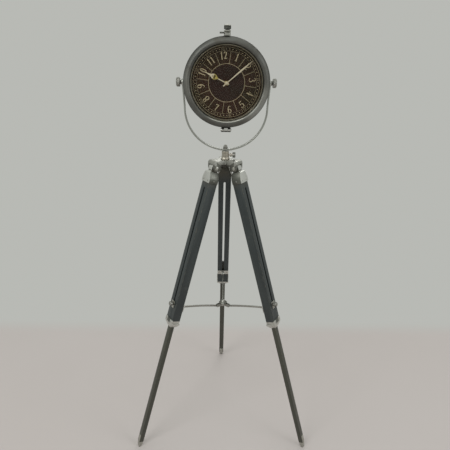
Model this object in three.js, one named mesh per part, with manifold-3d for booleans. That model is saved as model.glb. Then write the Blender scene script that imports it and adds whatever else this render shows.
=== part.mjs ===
// Tripod floor clock: a drum clock in a U-shaped yoke on a folding, telescoping wooden tripod.
// Millimetres, +Z up, the clock faces -Y, the floor is Z = 0.
import * as THREE from 'three';
import { mergeVertices } from 'three/addons/utils/BufferGeometryUtils.js';
import Module from 'manifold-3d';

const wasm = await Module();
wasm.setup();

// ---------------------------------------------------------------- driving dimensions
const AXIS_Y = -93.8645;         // tripod axis, so that the feet stand round the origin
const PIVOT_Z = 1120;          // leg hinge height
const PIVOT_R = 46;            // leg hinge radius
const FOOT_R = 386;            // foot radius at full splay
const BETA = Math.atan2(FOOT_R - PIVOT_R, PIVOT_Z);
const LEGS = { rear: 0, left: -120, right: 120 };

const LEG_W = 47, LEG_T = 33;  // upper leg section
const TONGUE_T = 21;           // its tongue between the ears of the head
const LEG_L = 603;             // upper leg length below its hinge
const SLOT_W = 8;              // gap between the two slats
const SLOT_TOP = 73;
const BAR_W = 21, BAR_T = 16;  // sliding lower leg
const BAR_TOP = 497, BAR_END = 1146;
const PIN_L = 541, PIN_Y = -27; // spreader pin in the leg's frame
const LOCK_L = 527;            // lock knob
const HUB_PIN_R = 26, HUB_SAG = 42;

const CLOCK_Z = 1400;          // tilt axis height
const BEZEL_R = 140, OPENING_R = 111.5;
const DRUM_R = 131, DRUM_FRONT = -30, DRUM_BACK = 58;
const YOKE_R = 138.75, YOKE_DROP = 82.25, YOKE_TOP_X = 143.75, YOKE_W = 14, YOKE_T = 5.5;
const MINUTE_ANGLE = 50, HOUR_ANGLE = -64.5;

const HINGE_Y = -31, HINGE_Z = -149;   // door hinge, from the tilt axis
const LATCH_Y = -41;

const SEG = 36;
const D = Math.PI / 180;

// ---------------------------------------------------------------- helpers
function clean(geometry) {
  let g = geometry.clone();
  for (const name of Object.keys(g.attributes)) if (name !== 'position') g.deleteAttribute(name);
  g = mergeVertices(g, 1e-4);
  const src = g.index.array, pos = g.attributes.position, kept = [];
  for (let i = 0; i < src.length; i += 3) {
    const [a, b, c] = [src[i], src[i + 1], src[i + 2]];
    if (a !== b && b !== c && a !== c) kept.push(a, b, c);
  }
  const A = new THREE.Vector3(), B = new THREE.Vector3(), C = new THREE.Vector3();
  let volume = 0;
  for (let i = 0; i < kept.length; i += 3) {
    A.fromBufferAttribute(pos, kept[i]); B.fromBufferAttribute(pos, kept[i + 1]); C.fromBufferAttribute(pos, kept[i + 2]);
    volume += A.dot(B.clone().cross(C)) / 6;
  }
  if (volume < 0) for (let i = 0; i < kept.length; i += 3) [kept[i + 1], kept[i + 2]] = [kept[i + 2], kept[i + 1]];
  g.setIndex(kept);
  return g;
}
function solid(geometry) {
  const g = clean(geometry);
  return new wasm.Manifold(new wasm.Mesh({
    numProp: 3,
    vertProperties: new Float32Array(g.attributes.position.array),
    triVerts: new Uint32Array(g.index.array),
  }));
}
function geometryOf(manifold) {
  const m = manifold.getMesh();
  const g = new THREE.BufferGeometry();
  const v = new Float32Array(m.numVert * 3);
  for (let i = 0; i < m.numVert; i++) for (let k = 0; k < 3; k++) v[i * 3 + k] = m.vertProperties[i * m.numProp + k];
  g.setAttribute('position', new THREE.BufferAttribute(v, 3));
  g.setIndex(Array.from(m.triVerts));
  return g;
}
const join = (...list) => list.slice(1).reduce((a, b) => a.add(b), list[0]);
const cut = (a, ...list) => list.reduce((s, b) => s.subtract(b), a);

// box by its low and high corners
function box(x0, x1, y0, y1, z0, z1) {
  const g = new THREE.BoxGeometry(x1 - x0, y1 - y0, z1 - z0);
  g.translate((x0 + x1) / 2, (y0 + y1) / 2, (z0 + z1) / 2);
  return solid(g);
}
// cylinder along an axis, from a to b, centred on (u, v) of the other two axes in X, Y, Z order
function rod(axis, r, a, b, u = 0, v = 0, n = 16, r2 = r) {
  const g = new THREE.CylinderGeometry(r2, r, b - a, n);
  g.translate(0, (a + b) / 2, 0);
  if (axis === 'x') { g.rotateZ(-Math.PI / 2); g.translate(0, u, v); }
  if (axis === 'y') g.translate(u, 0, v);
  if (axis === 'z') { g.rotateX(Math.PI / 2); g.translate(u, v, 0); }
  return solid(g);
}
// body of revolution; profile as [radius, height along the axis]
function turned(axis, profile, n = SEG) {
  const g = new THREE.LatheGeometry(profile.map(([r, h]) => new THREE.Vector2(r, h)), n);
  if (axis === 'x') g.rotateZ(-Math.PI / 2);
  if (axis === 'z') g.rotateX(Math.PI / 2);
  return solid(g);
}
// prism: outline in the two axes other than the given one, from a to b along it
function prism(axis, outline, a, b) {
  const shape = new THREE.Shape(outline.map(([u, v]) => new THREE.Vector2(u, v)));
  const g = new THREE.ExtrudeGeometry(shape, { depth: b - a, bevelEnabled: false, steps: 1 });
  g.translate(0, 0, a);
  const m = new THREE.Matrix4();
  if (axis === 'x') m.set(0, 0, 1, 0, 1, 0, 0, 0, 0, 1, 0, 0, 0, 0, 0, 1);   // (u, v, w) -> (w, u, v)
  if (axis === 'y') m.set(1, 0, 0, 0, 0, 0, 1, 0, 0, 1, 0, 0, 0, 0, 0, 1);   // (u, v, w) -> (u, w, v)
  if (axis !== 'z') g.applyMatrix4(m);
  return solid(g);
}
// frustum between two rectangles, centred on the Z axis
function taper(z0, w0, d0, z1, w1, d1) {
  const g = new THREE.BoxGeometry(1, 1, 1);
  const p = g.attributes.position;
  for (let i = 0; i < p.count; i++) {
    const top = p.getZ(i) > 0;
    p.setXYZ(i, p.getX(i) * (top ? w1 : w0), p.getY(i) * (top ? d1 : d0), top ? z1 : z0);
  }
  return solid(g);
}
// round knob outline with shallow flutes
function fluted(r, depth, flutes) {
  const pts = [];
  for (let i = 0; i < flutes; i++) {
    for (const [f, k] of [[0, 0], [0.5, 1]]) {
      const t = (i + f) / flutes * 2 * Math.PI, q = r - depth * k;
      pts.push([q * Math.cos(t), q * Math.sin(t)]);
    }
  }
  return pts;
}
// spur wheel outline in X, Z; a tooth points along the angle given, counted from +Z towards +X
function gearOutline(teeth, rp, toothAt) {
  const pts = [], m = 2 * rp / teeth, add = 0.66 * m, ded = 1.05 * m;
  for (let i = 0; i < teeth; i++) {
    const c = toothAt * D + i / teeth * 2 * Math.PI;
    for (const [r, half] of [[rp - ded, -0.78 * m], [rp + add, -0.36 * m], [rp + add, 0.36 * m], [rp - ded, 0.78 * m]]) {
      const t = c + half / rp;
      pts.push([r * Math.sin(t), r * Math.cos(t)]);
    }
  }
  return pts;
}

const finish = {
  blackWood: { color: 0x2b3232, roughness: 0.45, metalness: 0 },
  nickel: { color: 0xb4b4ae, roughness: 0.3, metalness: 1 },
  chrome: { color: 0xc9c9c6, roughness: 0.12, metalness: 1 },
  gunmetal: { color: 0x5c5e5a, roughness: 0.28, metalness: 1 },
  dial: { color: 0x2a201a, roughness: 0.6, metalness: 0 },
  hands: { color: 0xd8cfae, roughness: 0.35, metalness: 0.6 },
  brass: { color: 0xb79a4a, roughness: 0.35, metalness: 1 },
  glass: { color: 0xffffff, roughness: 0.03, metalness: 0, transparent: true, opacity: 0.25 },
  plastic: { color: 0x1b1b1d, roughness: 0.5, metalness: 0 },
  battery: { color: 0x3f6e54, roughness: 0.4, metalness: 0.2 },
};
function mesh(name, shape, look) {
  const m = new THREE.Mesh(geometryOf(shape), new THREE.MeshStandardMaterial(look));
  m.name = name;
  return m;
}

const clock = new THREE.Group();
const tripod = new THREE.Group();
tripod.position.set(0, AXIS_Y, 0);
clock.add(tripod);

// ---------------------------------------------------------------- tripod head
// a disc with three bridges, each with two ears that reach down beside a leg
const EAR_IN = 13.2, EAR_OUT = 21.5, EAR_R = 11.5, HEAD_TOP = 1145;
{
  const bottomCorner = [], topCorner = [];
  for (let t = -90; t <= 0; t += 18) bottomCorner.push([PIVOT_R + EAR_R * Math.cos(t * D), PIVOT_Z + EAR_R * Math.sin(t * D)]);
  for (let t = 0; t <= 90; t += 22.5) topCorner.push([PIVOT_R + 1.5 + 10 * Math.cos(t * D), HEAD_TOP - 10 + 10 * Math.sin(t * D)]);
  const ear = [[30, PIVOT_Z - 9.5], [32, PIVOT_Z - EAR_R], ...bottomCorner, ...topCorner, [14, HEAD_TOP], [14, 1130], [30, 1130]];
  const bridge = [[10, 1133.6], [PIVOT_R + EAR_R, 1133.6], ...topCorner, [10, HEAD_TOP]];
  let head = turned('z', [[0, 1130], [23, 1130], [24, 1131], [24, HEAD_TOP], [0, HEAD_TOP]], 24);
  for (const a of Object.values(LEGS)) {
    const fork = join(
      prism('x', bridge, -EAR_OUT, EAR_OUT),
      prism('x', ear, EAR_IN, EAR_OUT),
      prism('x', ear, -EAR_OUT, -EAR_IN),
    );
    head = head.add(fork.rotate([0, 0, -a]));
  }
  for (const a of Object.values(LEGS)) {
    head = head.subtract(rod('x', 4.3, -30, 30, PIVOT_R, PIVOT_Z, 12).rotate([0, 0, -a]));
  }
  head = head.subtract(rod('z', 8.4, 1125, 1150, 0, 0, 24));
  tripod.add(mesh('tripod_head', head, finish.nickel));
}
// socket post that stands in the head and takes the yoke's spigot
{
  let post = turned('z', [
    [0, 1131], [8, 1131], [8, 1145.4], [15.4, 1145.4], [15.4, 1147.5], [13.8, 1149.5], [12.9, 1152],
    [12.5, 1170.5], [11.5, 1173.5], [6.6, 1173.5], [6.6, 1136.5], [0, 1136.5],
  ], 20);
  post = post.subtract(rod('x', 3.4, 5, 18, 0, 1160, 12));
  tripod.add(mesh('socket_post', post, finish.chrome));
}
// thumb screw that clamps the spigot in the post
{
  const knob = join(
    prism('x', fluted(9.7, 0.8, 12), 25.5, 34.5),
    rod('x', 9, 34.4, 35.6, 0, 0, 20, 7.4),
    rod('x', 5, 16, 25.6, 0, 0, 16, 6),
    rod('x', 3, 6.9, 16.2, 0, 0, 12),
  ).translate([0, 0, 1160]);
  tripod.add(mesh('mast_clamp_knob', knob, finish.chrome));
}

// ---------------------------------------------------------------- legs
const woodOutline = [   // half outline of the upper leg, width against length below the hinge
  [12.6, 0], [12.6, -12.5], [23.5, -38], [23.5, -LEG_L],
];
function legPieces(tag) {
  const pieces = [];
  // routed wooden leg: rounded tongue on top, two slats, grooves for the sliding bar
  const half = woodOutline;
  const outline = [...half, ...half.map(([x, z]) => [-x, z]).reverse()];
  let wood = join(
    prism('y', outline, -LEG_T / 2, LEG_T / 2),
    rod('x', TONGUE_T / 2, -12.6, 12.6, 0, 0, 24),
  );
  // above the shoulder the wood thins to the tongue
  const shoulder = (at, s) => prism('x', [
    [s * (TONGUE_T / 2 + at), 40], [s * (TONGUE_T / 2 + at), -13 + at / 2], [s * (LEG_T / 2 + at), -19 + at / 2],
    [s * 40, -19 + at / 2], [s * 40, 40],
  ], -40, 40);
  wood = cut(wood,
    shoulder(0, 1), shoulder(0, -1),
    rod('x', 4.3, -30, 30, 0, 0, 12),
    box(-SLOT_W / 2, SLOT_W / 2, -20, 20, -LOCK_L - 14, -SLOT_TOP),
    box(-BAR_W / 2 - 0.4, BAR_W / 2 + 0.4, -BAR_T / 2 - 0.35, BAR_T / 2 + 0.35, -LEG_L - 1, -SLOT_TOP - 6),
  );
  pieces.push(mesh(`upper_leg_${tag}`, wood, finish.blackWood));
  // metal cap: outer plate, two cheeks that follow the tapered top, and a strap bent over the tongue
  const grow = 0.4, wall = 2.2;
  const ring = (d) => [[13.5 + d, -14.5], [23.5 + d, -38], [23.5 + d, -54]];
  const outer = ring(grow + wall), inner = ring(grow);
  const plateOutline = [...outer, ...outer.map(([x, z]) => [-x, z]).reverse()];
  const capOuter = cut(prism('y', plateOutline, -LEG_T / 2, LEG_T / 2 + grow + wall), shoulder(grow + wall, 1), shoulder(0, -1));
  const innerWide = [[inner[0][0] - 1.9, -10], inner[0], inner[1], [inner[2][0], -60]];
  const capInner = cut(prism('y', [...innerWide, ...innerWide.map(([x, z]) => [-x, z]).reverse()], -LEG_T / 2 - 1, LEG_T / 2 + grow), shoulder(grow, 1));
  const strapIn = TONGUE_T / 2 + grow, strapOut = strapIn + wall, strap = [[strapIn, -12.7], [strapOut, -14.7]];
  for (let t = 0; t <= 75; t += 15) strap.push([strapOut * Math.cos(t * D), strapOut * Math.sin(t * D)]);
  for (let t = 75; t >= 0; t -= 15) strap.push([strapIn * Math.cos(t * D), strapIn * Math.sin(t * D)]);
  let cap = capOuter.subtract(capInner).add(prism('x', strap, -12.2, 12.2));
  cap = cap.subtract(box(-13, 13, strapOut - 1.1, strapOut + 2, -11.6, -8.8));
  pieces.push(mesh(`leg_cap_${tag}`, cap, finish.nickel));
  // tapered ferrule round the foot of the upper leg
  let collar = join(
    taper(-606, LEG_W + 4.4, LEG_T + 4.4, -601, LEG_W + 4.4, LEG_T + 4.4),
    taper(-620, 28, 23, -605.9, LEG_W + 4.4, LEG_T + 4.4),
    box(-LEG_W / 2 - 2.2, LEG_W / 2 + 2.2, LEG_T / 2 - 2.5, LEG_T / 2 + 2.2, -605, -586),
  );
  collar = cut(collar,
    box(-LEG_W / 2 - 0.4, LEG_W / 2 + 0.4, -LEG_T / 2 - 0.4, LEG_T / 2 + 0.4, -603.4, -580),
    box(-BAR_W / 2 - 0.4, BAR_W / 2 + 0.4, -BAR_T / 2 - 0.4, BAR_T / 2 + 0.4, -630, -580),
  );
  pieces.push(mesh(`bottom_collar_${tag}`, collar, finish.nickel));
  // bracket on the inner face, with two ears and a riveted pin for the spreader arm
  const back = -LEG_T / 2 - 0.4;
  const ear = [[back - 1, -533], [PIN_Y - 1, -534.5], [PIN_Y - 6, -538.5], [PIN_Y - 6, -543.5], [PIN_Y - 1, -547.5], [back - 1, -549]];
  const bracket = join(
    box(-LEG_W / 2, LEG_W / 2, back - 2.8, back, -551, -531),
    prism('x', ear, 2.1, 4.5),
    prism('x', ear, -4.5, -2.1),
    rod('x', 3, -5.7, 5.7, PIN_Y, -PIN_L, 12),
  );
  pieces.push(mesh(`spreader_bracket_${tag}`, bracket, finish.chrome));
  // threaded plate on the outer face for the lock knob
  const front = LEG_T / 2 + 0.4;
  let plate = box(-11, 11, front, front + 2.6, -LOCK_L - 14, -LOCK_L + 12);
  plate = plate.subtract(rod('y', 3.4, 10, 26, 0, -LOCK_L, 12));
  pieces.push(mesh(`lock_plate_${tag}`, plate, finish.nickel));
  return pieces;
}
function lockKnob(tag) {
  const front = LEG_T / 2 + 3;
  const knob = join(
    prism('y', fluted(8.8, 0.7, 12), front + 3, front + 12),
    rod('y', 8, front + 11.9, front + 13.4, 0, 0, 20, 6.4),
    rod('y', 5.4, front + 0.4, front + 3.1, 0, 0, 16),
    rod('y', 3, BAR_T / 2 + 0.4, front + 1, 0, 0, 12),
  ).translate([0, 0, -LOCK_L]);
  return mesh(`lock_knob_${tag}`, knob, finish.nickel);
}
function lowerLeg(tag) {
  let bar = box(-BAR_W / 2, BAR_W / 2, -BAR_T / 2, BAR_T / 2, -BAR_END, -BAR_TOP);
  bar = bar.subtract(rod('z', 4.3, -BAR_END - 1, -BAR_END + 22, 0, 0, 12));
  return mesh(`lower_leg_${tag}`, bar, finish.blackWood);
}
function footTip(tag) {
  // flat sole, level with the floor at full splay
  const sole = (y) => -(PIVOT_Z + y * Math.sin(BETA)) / Math.cos(BETA);
  const tip = join(
    prism('x', [[-7.6, -BAR_END - 0.4], [7.6, -BAR_END - 0.4], [7.6, -BAR_END - 7], [4, sole(4)], [-4, sole(-4)], [-7.6, -BAR_END - 7]], -8.5, 8.5),
    rod('z', 3.9, -BAR_END - 1, -BAR_END + 21, 0, 0, 12),
  );
  return mesh(`foot_tip_${tag}`, tip, finish.nickel);
}
// spreader linkage in the vertical plane of a leg, radius and height
const pinR = PIVOT_R + PIN_Y * Math.cos(BETA) + PIN_L * Math.sin(BETA);
const pinZ = PIVOT_Z - PIN_L * Math.cos(BETA) + PIN_Y * Math.sin(BETA);
const hubZ = pinZ - HUB_SAG;
const armL = Math.hypot(pinR - HUB_PIN_R, HUB_SAG);
const armDroop = Math.atan2(HUB_SAG, pinR - HUB_PIN_R);
function spreaderArm(tag) {
  // strip on edge with a slight upward bow, an eye at each end; built along -Y from the outer eye
  const upper = [], lower = [], n = 7, half = 4, bow = 2;
  for (let i = 0; i <= n; i++) {
    const s = -3 - (armL - 6) * i / n, u = -s / armL, b = bow * Math.sin(Math.PI * u);
    upper.push([s, b + half]); lower.push([s, b - half]);
  }
  let arm = join(
    prism('x', [...upper, ...lower.reverse()], -1.7, 1.7),
    rod('x', 5.4, -1.7, 1.7, 0, 0, 12),
    rod('x', 5, -1.7, 1.7, -armL, 0, 12),
  );
  arm = cut(arm, rod('x', 3.4, -5, 5, 0, 0, 12), rod('x', 2.4, -5, 5, -armL, 0, 8));
  const m = mesh(`spreader_arm_${tag}`, arm, finish.chrome);
  m.position.set(0, pinR, pinZ);
  m.rotation.x = armDroop;
  return m;
}
for (const [tag, azimuth] of Object.entries(LEGS)) {
  const around = new THREE.Group();
  around.rotation.z = -azimuth * D;
  tripod.add(around);
  // hinge bolt with a hexagon head and a nut end
  const bolt = join(
    rod('x', 3.9, -24, 24, 0, 0, 12),
    rod('x', 5.8, -EAR_OUT - 3.4, -EAR_OUT - 0.4, 0, 0, 6),
    rod('x', 5.8, EAR_OUT + 0.4, EAR_OUT + 3.4, 0, 0, 6),
    rod('x', 3.9, EAR_OUT + 3, EAR_OUT + 4.4, 0, 0, 12),
  );
  const boltMesh = mesh(`leg_bolt_${tag}`, bolt, finish.chrome);
  boltMesh.position.set(0, PIVOT_R, PIVOT_Z);
  around.add(boltMesh);
  const leg = new THREE.Group();
  leg.position.set(0, PIVOT_R, PIVOT_Z);
  leg.rotation.x = BETA;
  around.add(leg);
  leg.add(...legPieces(tag), lockKnob(tag), lowerLeg(tag), footTip(tag));
  around.add(spreaderArm(tag));
}
// sliding hub of the spreader: a small cone with three forks that leave room for the arms to stand up
{
  let hub = turned('z', [[0, -3], [11, -3], [12.5, -1], [15.5, 6], [16.2, 7.2], [16.2, 9], [8, 15.5], [5, 19], [0, 19]], 18);
  for (const a of Object.values(LEGS)) {
    for (const s of [-1, 1]) {
      const x0 = s < 0 ? -4.5 : 2.1, x1 = s < 0 ? -2.1 : 4.5;
      const outline = [[10, -4], [HUB_PIN_R - 4, -5], [HUB_PIN_R + 4, -4], [HUB_PIN_R + 6, 0], [HUB_PIN_R + 4, 5], [HUB_PIN_R, 7.5], [10, 8]];
      hub = hub.add(prism('x', outline, x0, x1).rotate([0, 0, -a]));
      hub = hub.add(rod('x', 3, s < 0 ? -5.8 : 4.3, s < 0 ? -4.3 : 5.8, HUB_PIN_R, 0, 8).rotate([0, 0, -a]));
    }
  }
  const m = mesh('spreader_hub', hub, finish.chrome);
  m.position.set(0, 0, hubZ);
  tripod.add(m);
}

// ---------------------------------------------------------------- yoke and clock
const head = new THREE.Group();
head.position.set(0, 0, CLOCK_Z);
tripod.add(head);
const yokeBottom = -YOKE_DROP - YOKE_R;   // centre of the strip at the bottom of the bail
{
  // strip bent to a U: straight arms that open slightly, half-round bottom
  const side = (off) => {
    const pts = [[YOKE_TOP_X + off, 0], [YOKE_TOP_X - 1.6 + off, -28], [YOKE_TOP_X - 3.6 + off, -56]];
    for (let t = 0; t <= 180; t += 10) {   // flat seat at the very bottom
      const fall = Math.abs(t - 90) < 11 ? 1 : Math.sin(t * D);
      pts.push([(YOKE_R + off) * Math.cos(t * D), -YOKE_DROP - (YOKE_R + off) * fall]);
    }
    pts.push([-(YOKE_TOP_X - 3.6 + off), -56], [-(YOKE_TOP_X - 1.6 + off), -28], [-(YOKE_TOP_X + off), 0]);
    return pts;
  };
  let yoke = prism('y', [...side(YOKE_T / 2), ...side(-YOKE_T / 2).reverse()], -YOKE_W / 2, YOKE_W / 2);
  for (const s of [-1, 1]) {
    const x0 = s * YOKE_TOP_X - YOKE_T / 2, x1 = s * YOKE_TOP_X + YOKE_T / 2;
    yoke = yoke.add(rod('x', 11, x0, x1, 0, 0, 24));
    yoke = yoke.subtract(rod('x', 4.4, x0 - 2, x1 + 2, 0, 0, 16));
  }
  yoke = yoke.subtract(rod('z', 4.4, yokeBottom - 5, yokeBottom + 5, 0, 0, 16));
  head.add(mesh('yoke', yoke, finish.chrome));
}
const stripLow = yokeBottom - YOKE_T / 2, stripHigh = yokeBottom + YOKE_T / 2;
{
  // spigot: shank in the socket post, flange under the bail, threaded top
  const spigot = turned('z', [
    [0, 1138 - CLOCK_Z], [5.4, 1138 - CLOCK_Z], [6, 1139 - CLOCK_Z], [6, 1173.9 - CLOCK_Z], [10.6, 1173.9 - CLOCK_Z],
    [10.6, stripLow - 0.3], [4, stripLow - 0.3], [4, stripHigh + 6], [0, stripHigh + 6],
  ], 24);
  head.add(mesh('yoke_spigot', spigot, finish.chrome));
  // dome nut on top of the bail
  let nut = join(
    rod('z', 8, stripHigh + 0.4, stripHigh + 7, 0, 0, 6),
    turned('z', [[0, stripHigh + 6.8], [6.4, stripHigh + 6.8], [6.2, stripHigh + 9.5], [4.6, stripHigh + 12], [2.2, stripHigh + 13.6], [0, stripHigh + 14]], 20),
  );
  nut = nut.subtract(rod('z', 4.3, stripHigh - 1, stripHigh + 6.5, 0, 0, 16));
  head.add(mesh('yoke_nut', nut, finish.nickel));
}
// tilt knobs: threaded on the drum's studs, outside the bail's eyes
const knobFace = YOKE_TOP_X + YOKE_T / 2 + 0.4;
for (const [tag, s] of [['left', -1], ['right', 1]]) {
  const knob = cut(join(
    prism('x', fluted(15, 1, 16), 152.5, 163),
    rod('x', 13.6, 162.9, 165.4, 0, 0, 28, 10.5),
    rod('x', 8, knobFace, 152.6, 0, 0, 20, 9),
  ), rod('x', 4.3, knobFace - 1, 158, 0, 0, 16));
  head.add(mesh(`tilt_knob_${tag}`, s > 0 ? knob : knob.rotate([0, 0, 180]), finish.chrome));
}
// drum case with an inner ledge for the dial, a rear opening, and two side bosses that end in studs
{
  let drum = turned('y', [
    [DRUM_R, DRUM_FRONT], [DRUM_R, 42], [127.2, 52.6], [118, DRUM_BACK], [47, DRUM_BACK],
    [47, DRUM_BACK - 2.2], [117, DRUM_BACK - 2.2], [125.2, 51], [128.8, 41.4],
    [128.8, -18.6], [118, -18.6], [118, -22], [128.8, -22], [128.8, DRUM_FRONT], [DRUM_R, DRUM_FRONT],
  ]);
  for (const s of [-1, 1]) {
    drum = drum.add(rod('x', 10, s > 0 ? 127 : -140.4, s > 0 ? 140.4 : -127, 0, 0, 20));
    drum = drum.add(rod('x', 4, s > 0 ? 140 : -156, s > 0 ? 156 : -140, 0, 0, 16));
  }
  head.add(mesh('drum_case', drum, finish.gunmetal));
  const cover = turned('y', [
    [0, 61.8], [48, 61.8], [53, 60.4], [54, DRUM_BACK + 0.4], [46.4, DRUM_BACK + 0.4], [46.4, 49], [44.4, 49],
    [44.4, DRUM_BACK + 1.2], [0, DRUM_BACK + 1.2],
  ], 28).add(rod('y', 9, 61.7, 69, 0, 0, 16, 11));
  head.add(mesh('rear_cover', cover, finish.gunmetal));
}
// bezel door, a rolled ring with a stepped inner lip and a groove that holds the glass
{
  const bezel = turned('y', [
    [127.4, -30.5], [138.4, -30.8], [BEZEL_R, -34.5], [BEZEL_R, -40], [138.4, -47], [133, -53], [125.5, -55],
    [119.4, -52.4], [117.4, -47.2], [115.4, -47.9], [114, -47.9], [OPENING_R, -43.8], [OPENING_R, -42.2],
    [118.6, -42.2], [118.6, -38.2], [115, -38.2], [115, -35.6], [126.4, -35.2], [127.4, -30.5],
  ]);
  head.add(mesh('bezel_ring', bezel, finish.gunmetal));
  head.add(mesh('glass_lens', turned('y', [[0, -41.8], [118.1, -41.8], [118.1, -38.6], [0, -38.6]]), finish.glass));
}
// door hinge under the drum
{
  const knuckle = (x0, x1) => rod('x', 7, x0, x1, HINGE_Y, HINGE_Z, 18);
  const bore = rod('x', 2.9, -30, 30, HINGE_Y, HINGE_Z, 12);
  let drumLeaf = join(
    box(-16, 16, -22, -4, HINGE_Z - 3, HINGE_Z + 3),
    box(-16, 16, -22, -4, HINGE_Z, -125),
    knuckle(-16, -6.4), knuckle(6.4, 16),
    box(-16, -6.4, HINGE_Y, -21, HINGE_Z - 3, HINGE_Z + 3),
    box(6.4, 16, HINGE_Y, -21, HINGE_Z - 3, HINGE_Z + 3),
  );
  drumLeaf = cut(drumLeaf, rod('y', DRUM_R + 0.5, -60, 60, 0, 0, 96), bore);
  head.add(mesh('hinge_leaf_drum', drumLeaf, finish.chrome));
  let doorLeaf = join(
    knuckle(-6, 6),
    box(-6, 6, -47, -34, -150, -130),
    box(-6, 6, -36, HINGE_Y, HINGE_Z - 1, HINGE_Z + 6),
  );
  doorLeaf = cut(doorLeaf, rod('y', BEZEL_R + 0.5, -80, 20, 0, 0, 96), bore);
  head.add(mesh('hinge_leaf_bezel', doorLeaf, finish.chrome));
  const pin = join(rod('x', 2.5, -18, 18, HINGE_Y, HINGE_Z, 12), rod('x', 4.4, 16.4, 18.2, HINGE_Y, HINGE_Z, 12), rod('x', 4.4, -18.2, -16.4, HINGE_Y, HINGE_Z, 12));
  head.add(mesh('hinge_pin', pin, finish.chrome));
}
// latch: a bracket on the drum reaches over a lug on the door, and its screw bears on the lug
{
  let lug = join(box(-7.7, 7.7, -46.5, -35, 134, 149), box(-24, -7, -43.6, -38.6, 145.4, 150.6));
  lug = lug.subtract(rod('y', BEZEL_R + 0.5, -80, 20, 0, 0, 96));
  head.add(mesh('latch_lug', lug, finish.nickel));
  let bracket = join(
    box(-10.5, 10.5, -51, -12, 151.4, 156),
    box(-10.5, 10.5, -17, -12, 131, 156),
    box(-10.5, 10.5, -17, 8, 125, 136),
  );
  bracket = cut(bracket, rod('y', DRUM_R + 0.5, -60, 60, 0, 0, 96), rod('z', 3.4, 140, 160, 0, LATCH_Y, 12));
  head.add(mesh('latch_bracket', bracket, finish.nickel));
  const screw = join(
    rod('z', 3, 149.7, 158, 0, LATCH_Y, 12),
    rod('z', 7, 156.4, 158.4, 0, LATCH_Y, 20),
    prism('z', fluted(11, 0.8, 16), 158.2, 168).translate([0, LATCH_Y, 0]),
    turned('z', [[0, 167.8], [10.4, 167.8], [10.4, 169.8], [9.6, 170.9], [7, 171.4], [0, 171.4]], 24).translate([0, LATCH_Y, 0]),
  );
  head.add(mesh('latch_screw', screw, finish.nickel));
}
// dial
head.add(mesh('dial_plate', turned('y', [[5.2, -25.4], [128.2, -25.4], [128.2, -22.4], [5.2, -22.4], [5.2, -25.4]]), finish.dial));

// quartz movement behind the dial
const PHI = 30;                                        // direction of the minute wheel, from +Z towards +X
const CD = 12;                                         // centre distance of the motion work
const mwX = CD * Math.sin(PHI * D), mwZ = CD * Math.cos(PHI * D);
const PSI = 75;                                        // direction of the setting pinion from the minute wheel
const setX = mwX + CD * Math.sin(PSI * D), setZ = mwZ + CD * Math.cos(PSI * D);
{
  let housing = join(box(-28, 28, -22, -5, -31, 27), rod('y', 4.8, -29.4, -21, 0, 0, 20));
  housing = cut(housing,
    box(-26.4, 26.4, -20.4, -7, -12.6, 25.4),          // gear space
    box(-26.4, 26.4, -20.4, 0, -29.6, -14.2),          // battery bay, open to the rear
    rod('y', 3.3, -35, -15, 0, 0, 20),
    rod('y', 2.2, -10, 0, setX, setZ, 12),
  );
  head.add(mesh('movement_housing', housing, finish.plastic));
  const battery = join(rod('x', 7, -24.6, 24, -13.2, -21.9, 20), rod('x', 2.7, 23.8, 25.4, -13.2, -21.9, 12));
  head.add(mesh('battery', battery, finish.battery));
  // minute arbor with its pinion
  const arbor = join(
    rod('y', 1.2, -34.2, -8, 0, 0, 12),
    prism('y', gearOutline(8, 3, PHI), -12.4, -10.4),
  );
  head.add(mesh('minute_arbor', arbor, finish.brass));
  // minute wheel and its pinion, which drives the hour wheel
  const minuteWheel = join(
    prism('y', gearOutline(24, 9, PHI + 180 + 7.5), -12.4, -10.4),
    prism('y', gearOutline(8, 2.4, PHI + 180), -17, -12.3),
    rod('y', 1.2, -19.6, -8, 0, 0, 12),
  ).translate([mwX, 0, mwZ]);
  head.add(mesh('minute_wheel', minuteWheel, finish.brass));
  let hourWheel = join(
    prism('y', gearOutline(32, 9.6, PHI + 5.625), -17, -15.4),
    rod('y', 2.6, -31.8, -15.4, 0, 0, 16),
  );
  hourWheel = hourWheel.subtract(rod('y', 1.65, -40, 0, 0, 0, 12));
  head.add(mesh('hour_wheel', hourWheel, finish.brass));
  const setKnob = join(
    prism('y', gearOutline(8, 3, PSI + 180), -12.4, -10.4),
    rod('y', 1.6, -19.6, -3, 0, 0, 12),
    prism('y', fluted(8, 0.6, 12), -4.4, -0.4),
  ).translate([setX, 0, setZ]);
  head.add(mesh('set_knob', setKnob, finish.plastic));
  const drive = box(-25.6, -11.6, -19.8, -7.6, -11.8, 24.6);
  head.add(mesh('drive_unit', drive, finish.plastic));
  // hexagon nut that holds the movement to the dial
  const nut = rod('y', 8, -28.6, -25.8, 0, 0, 6).subtract(rod('y', 5.1, -40, 0, 0, 0, 20));
  head.add(mesh('bushing_nut', nut, finish.brass));
}
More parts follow.
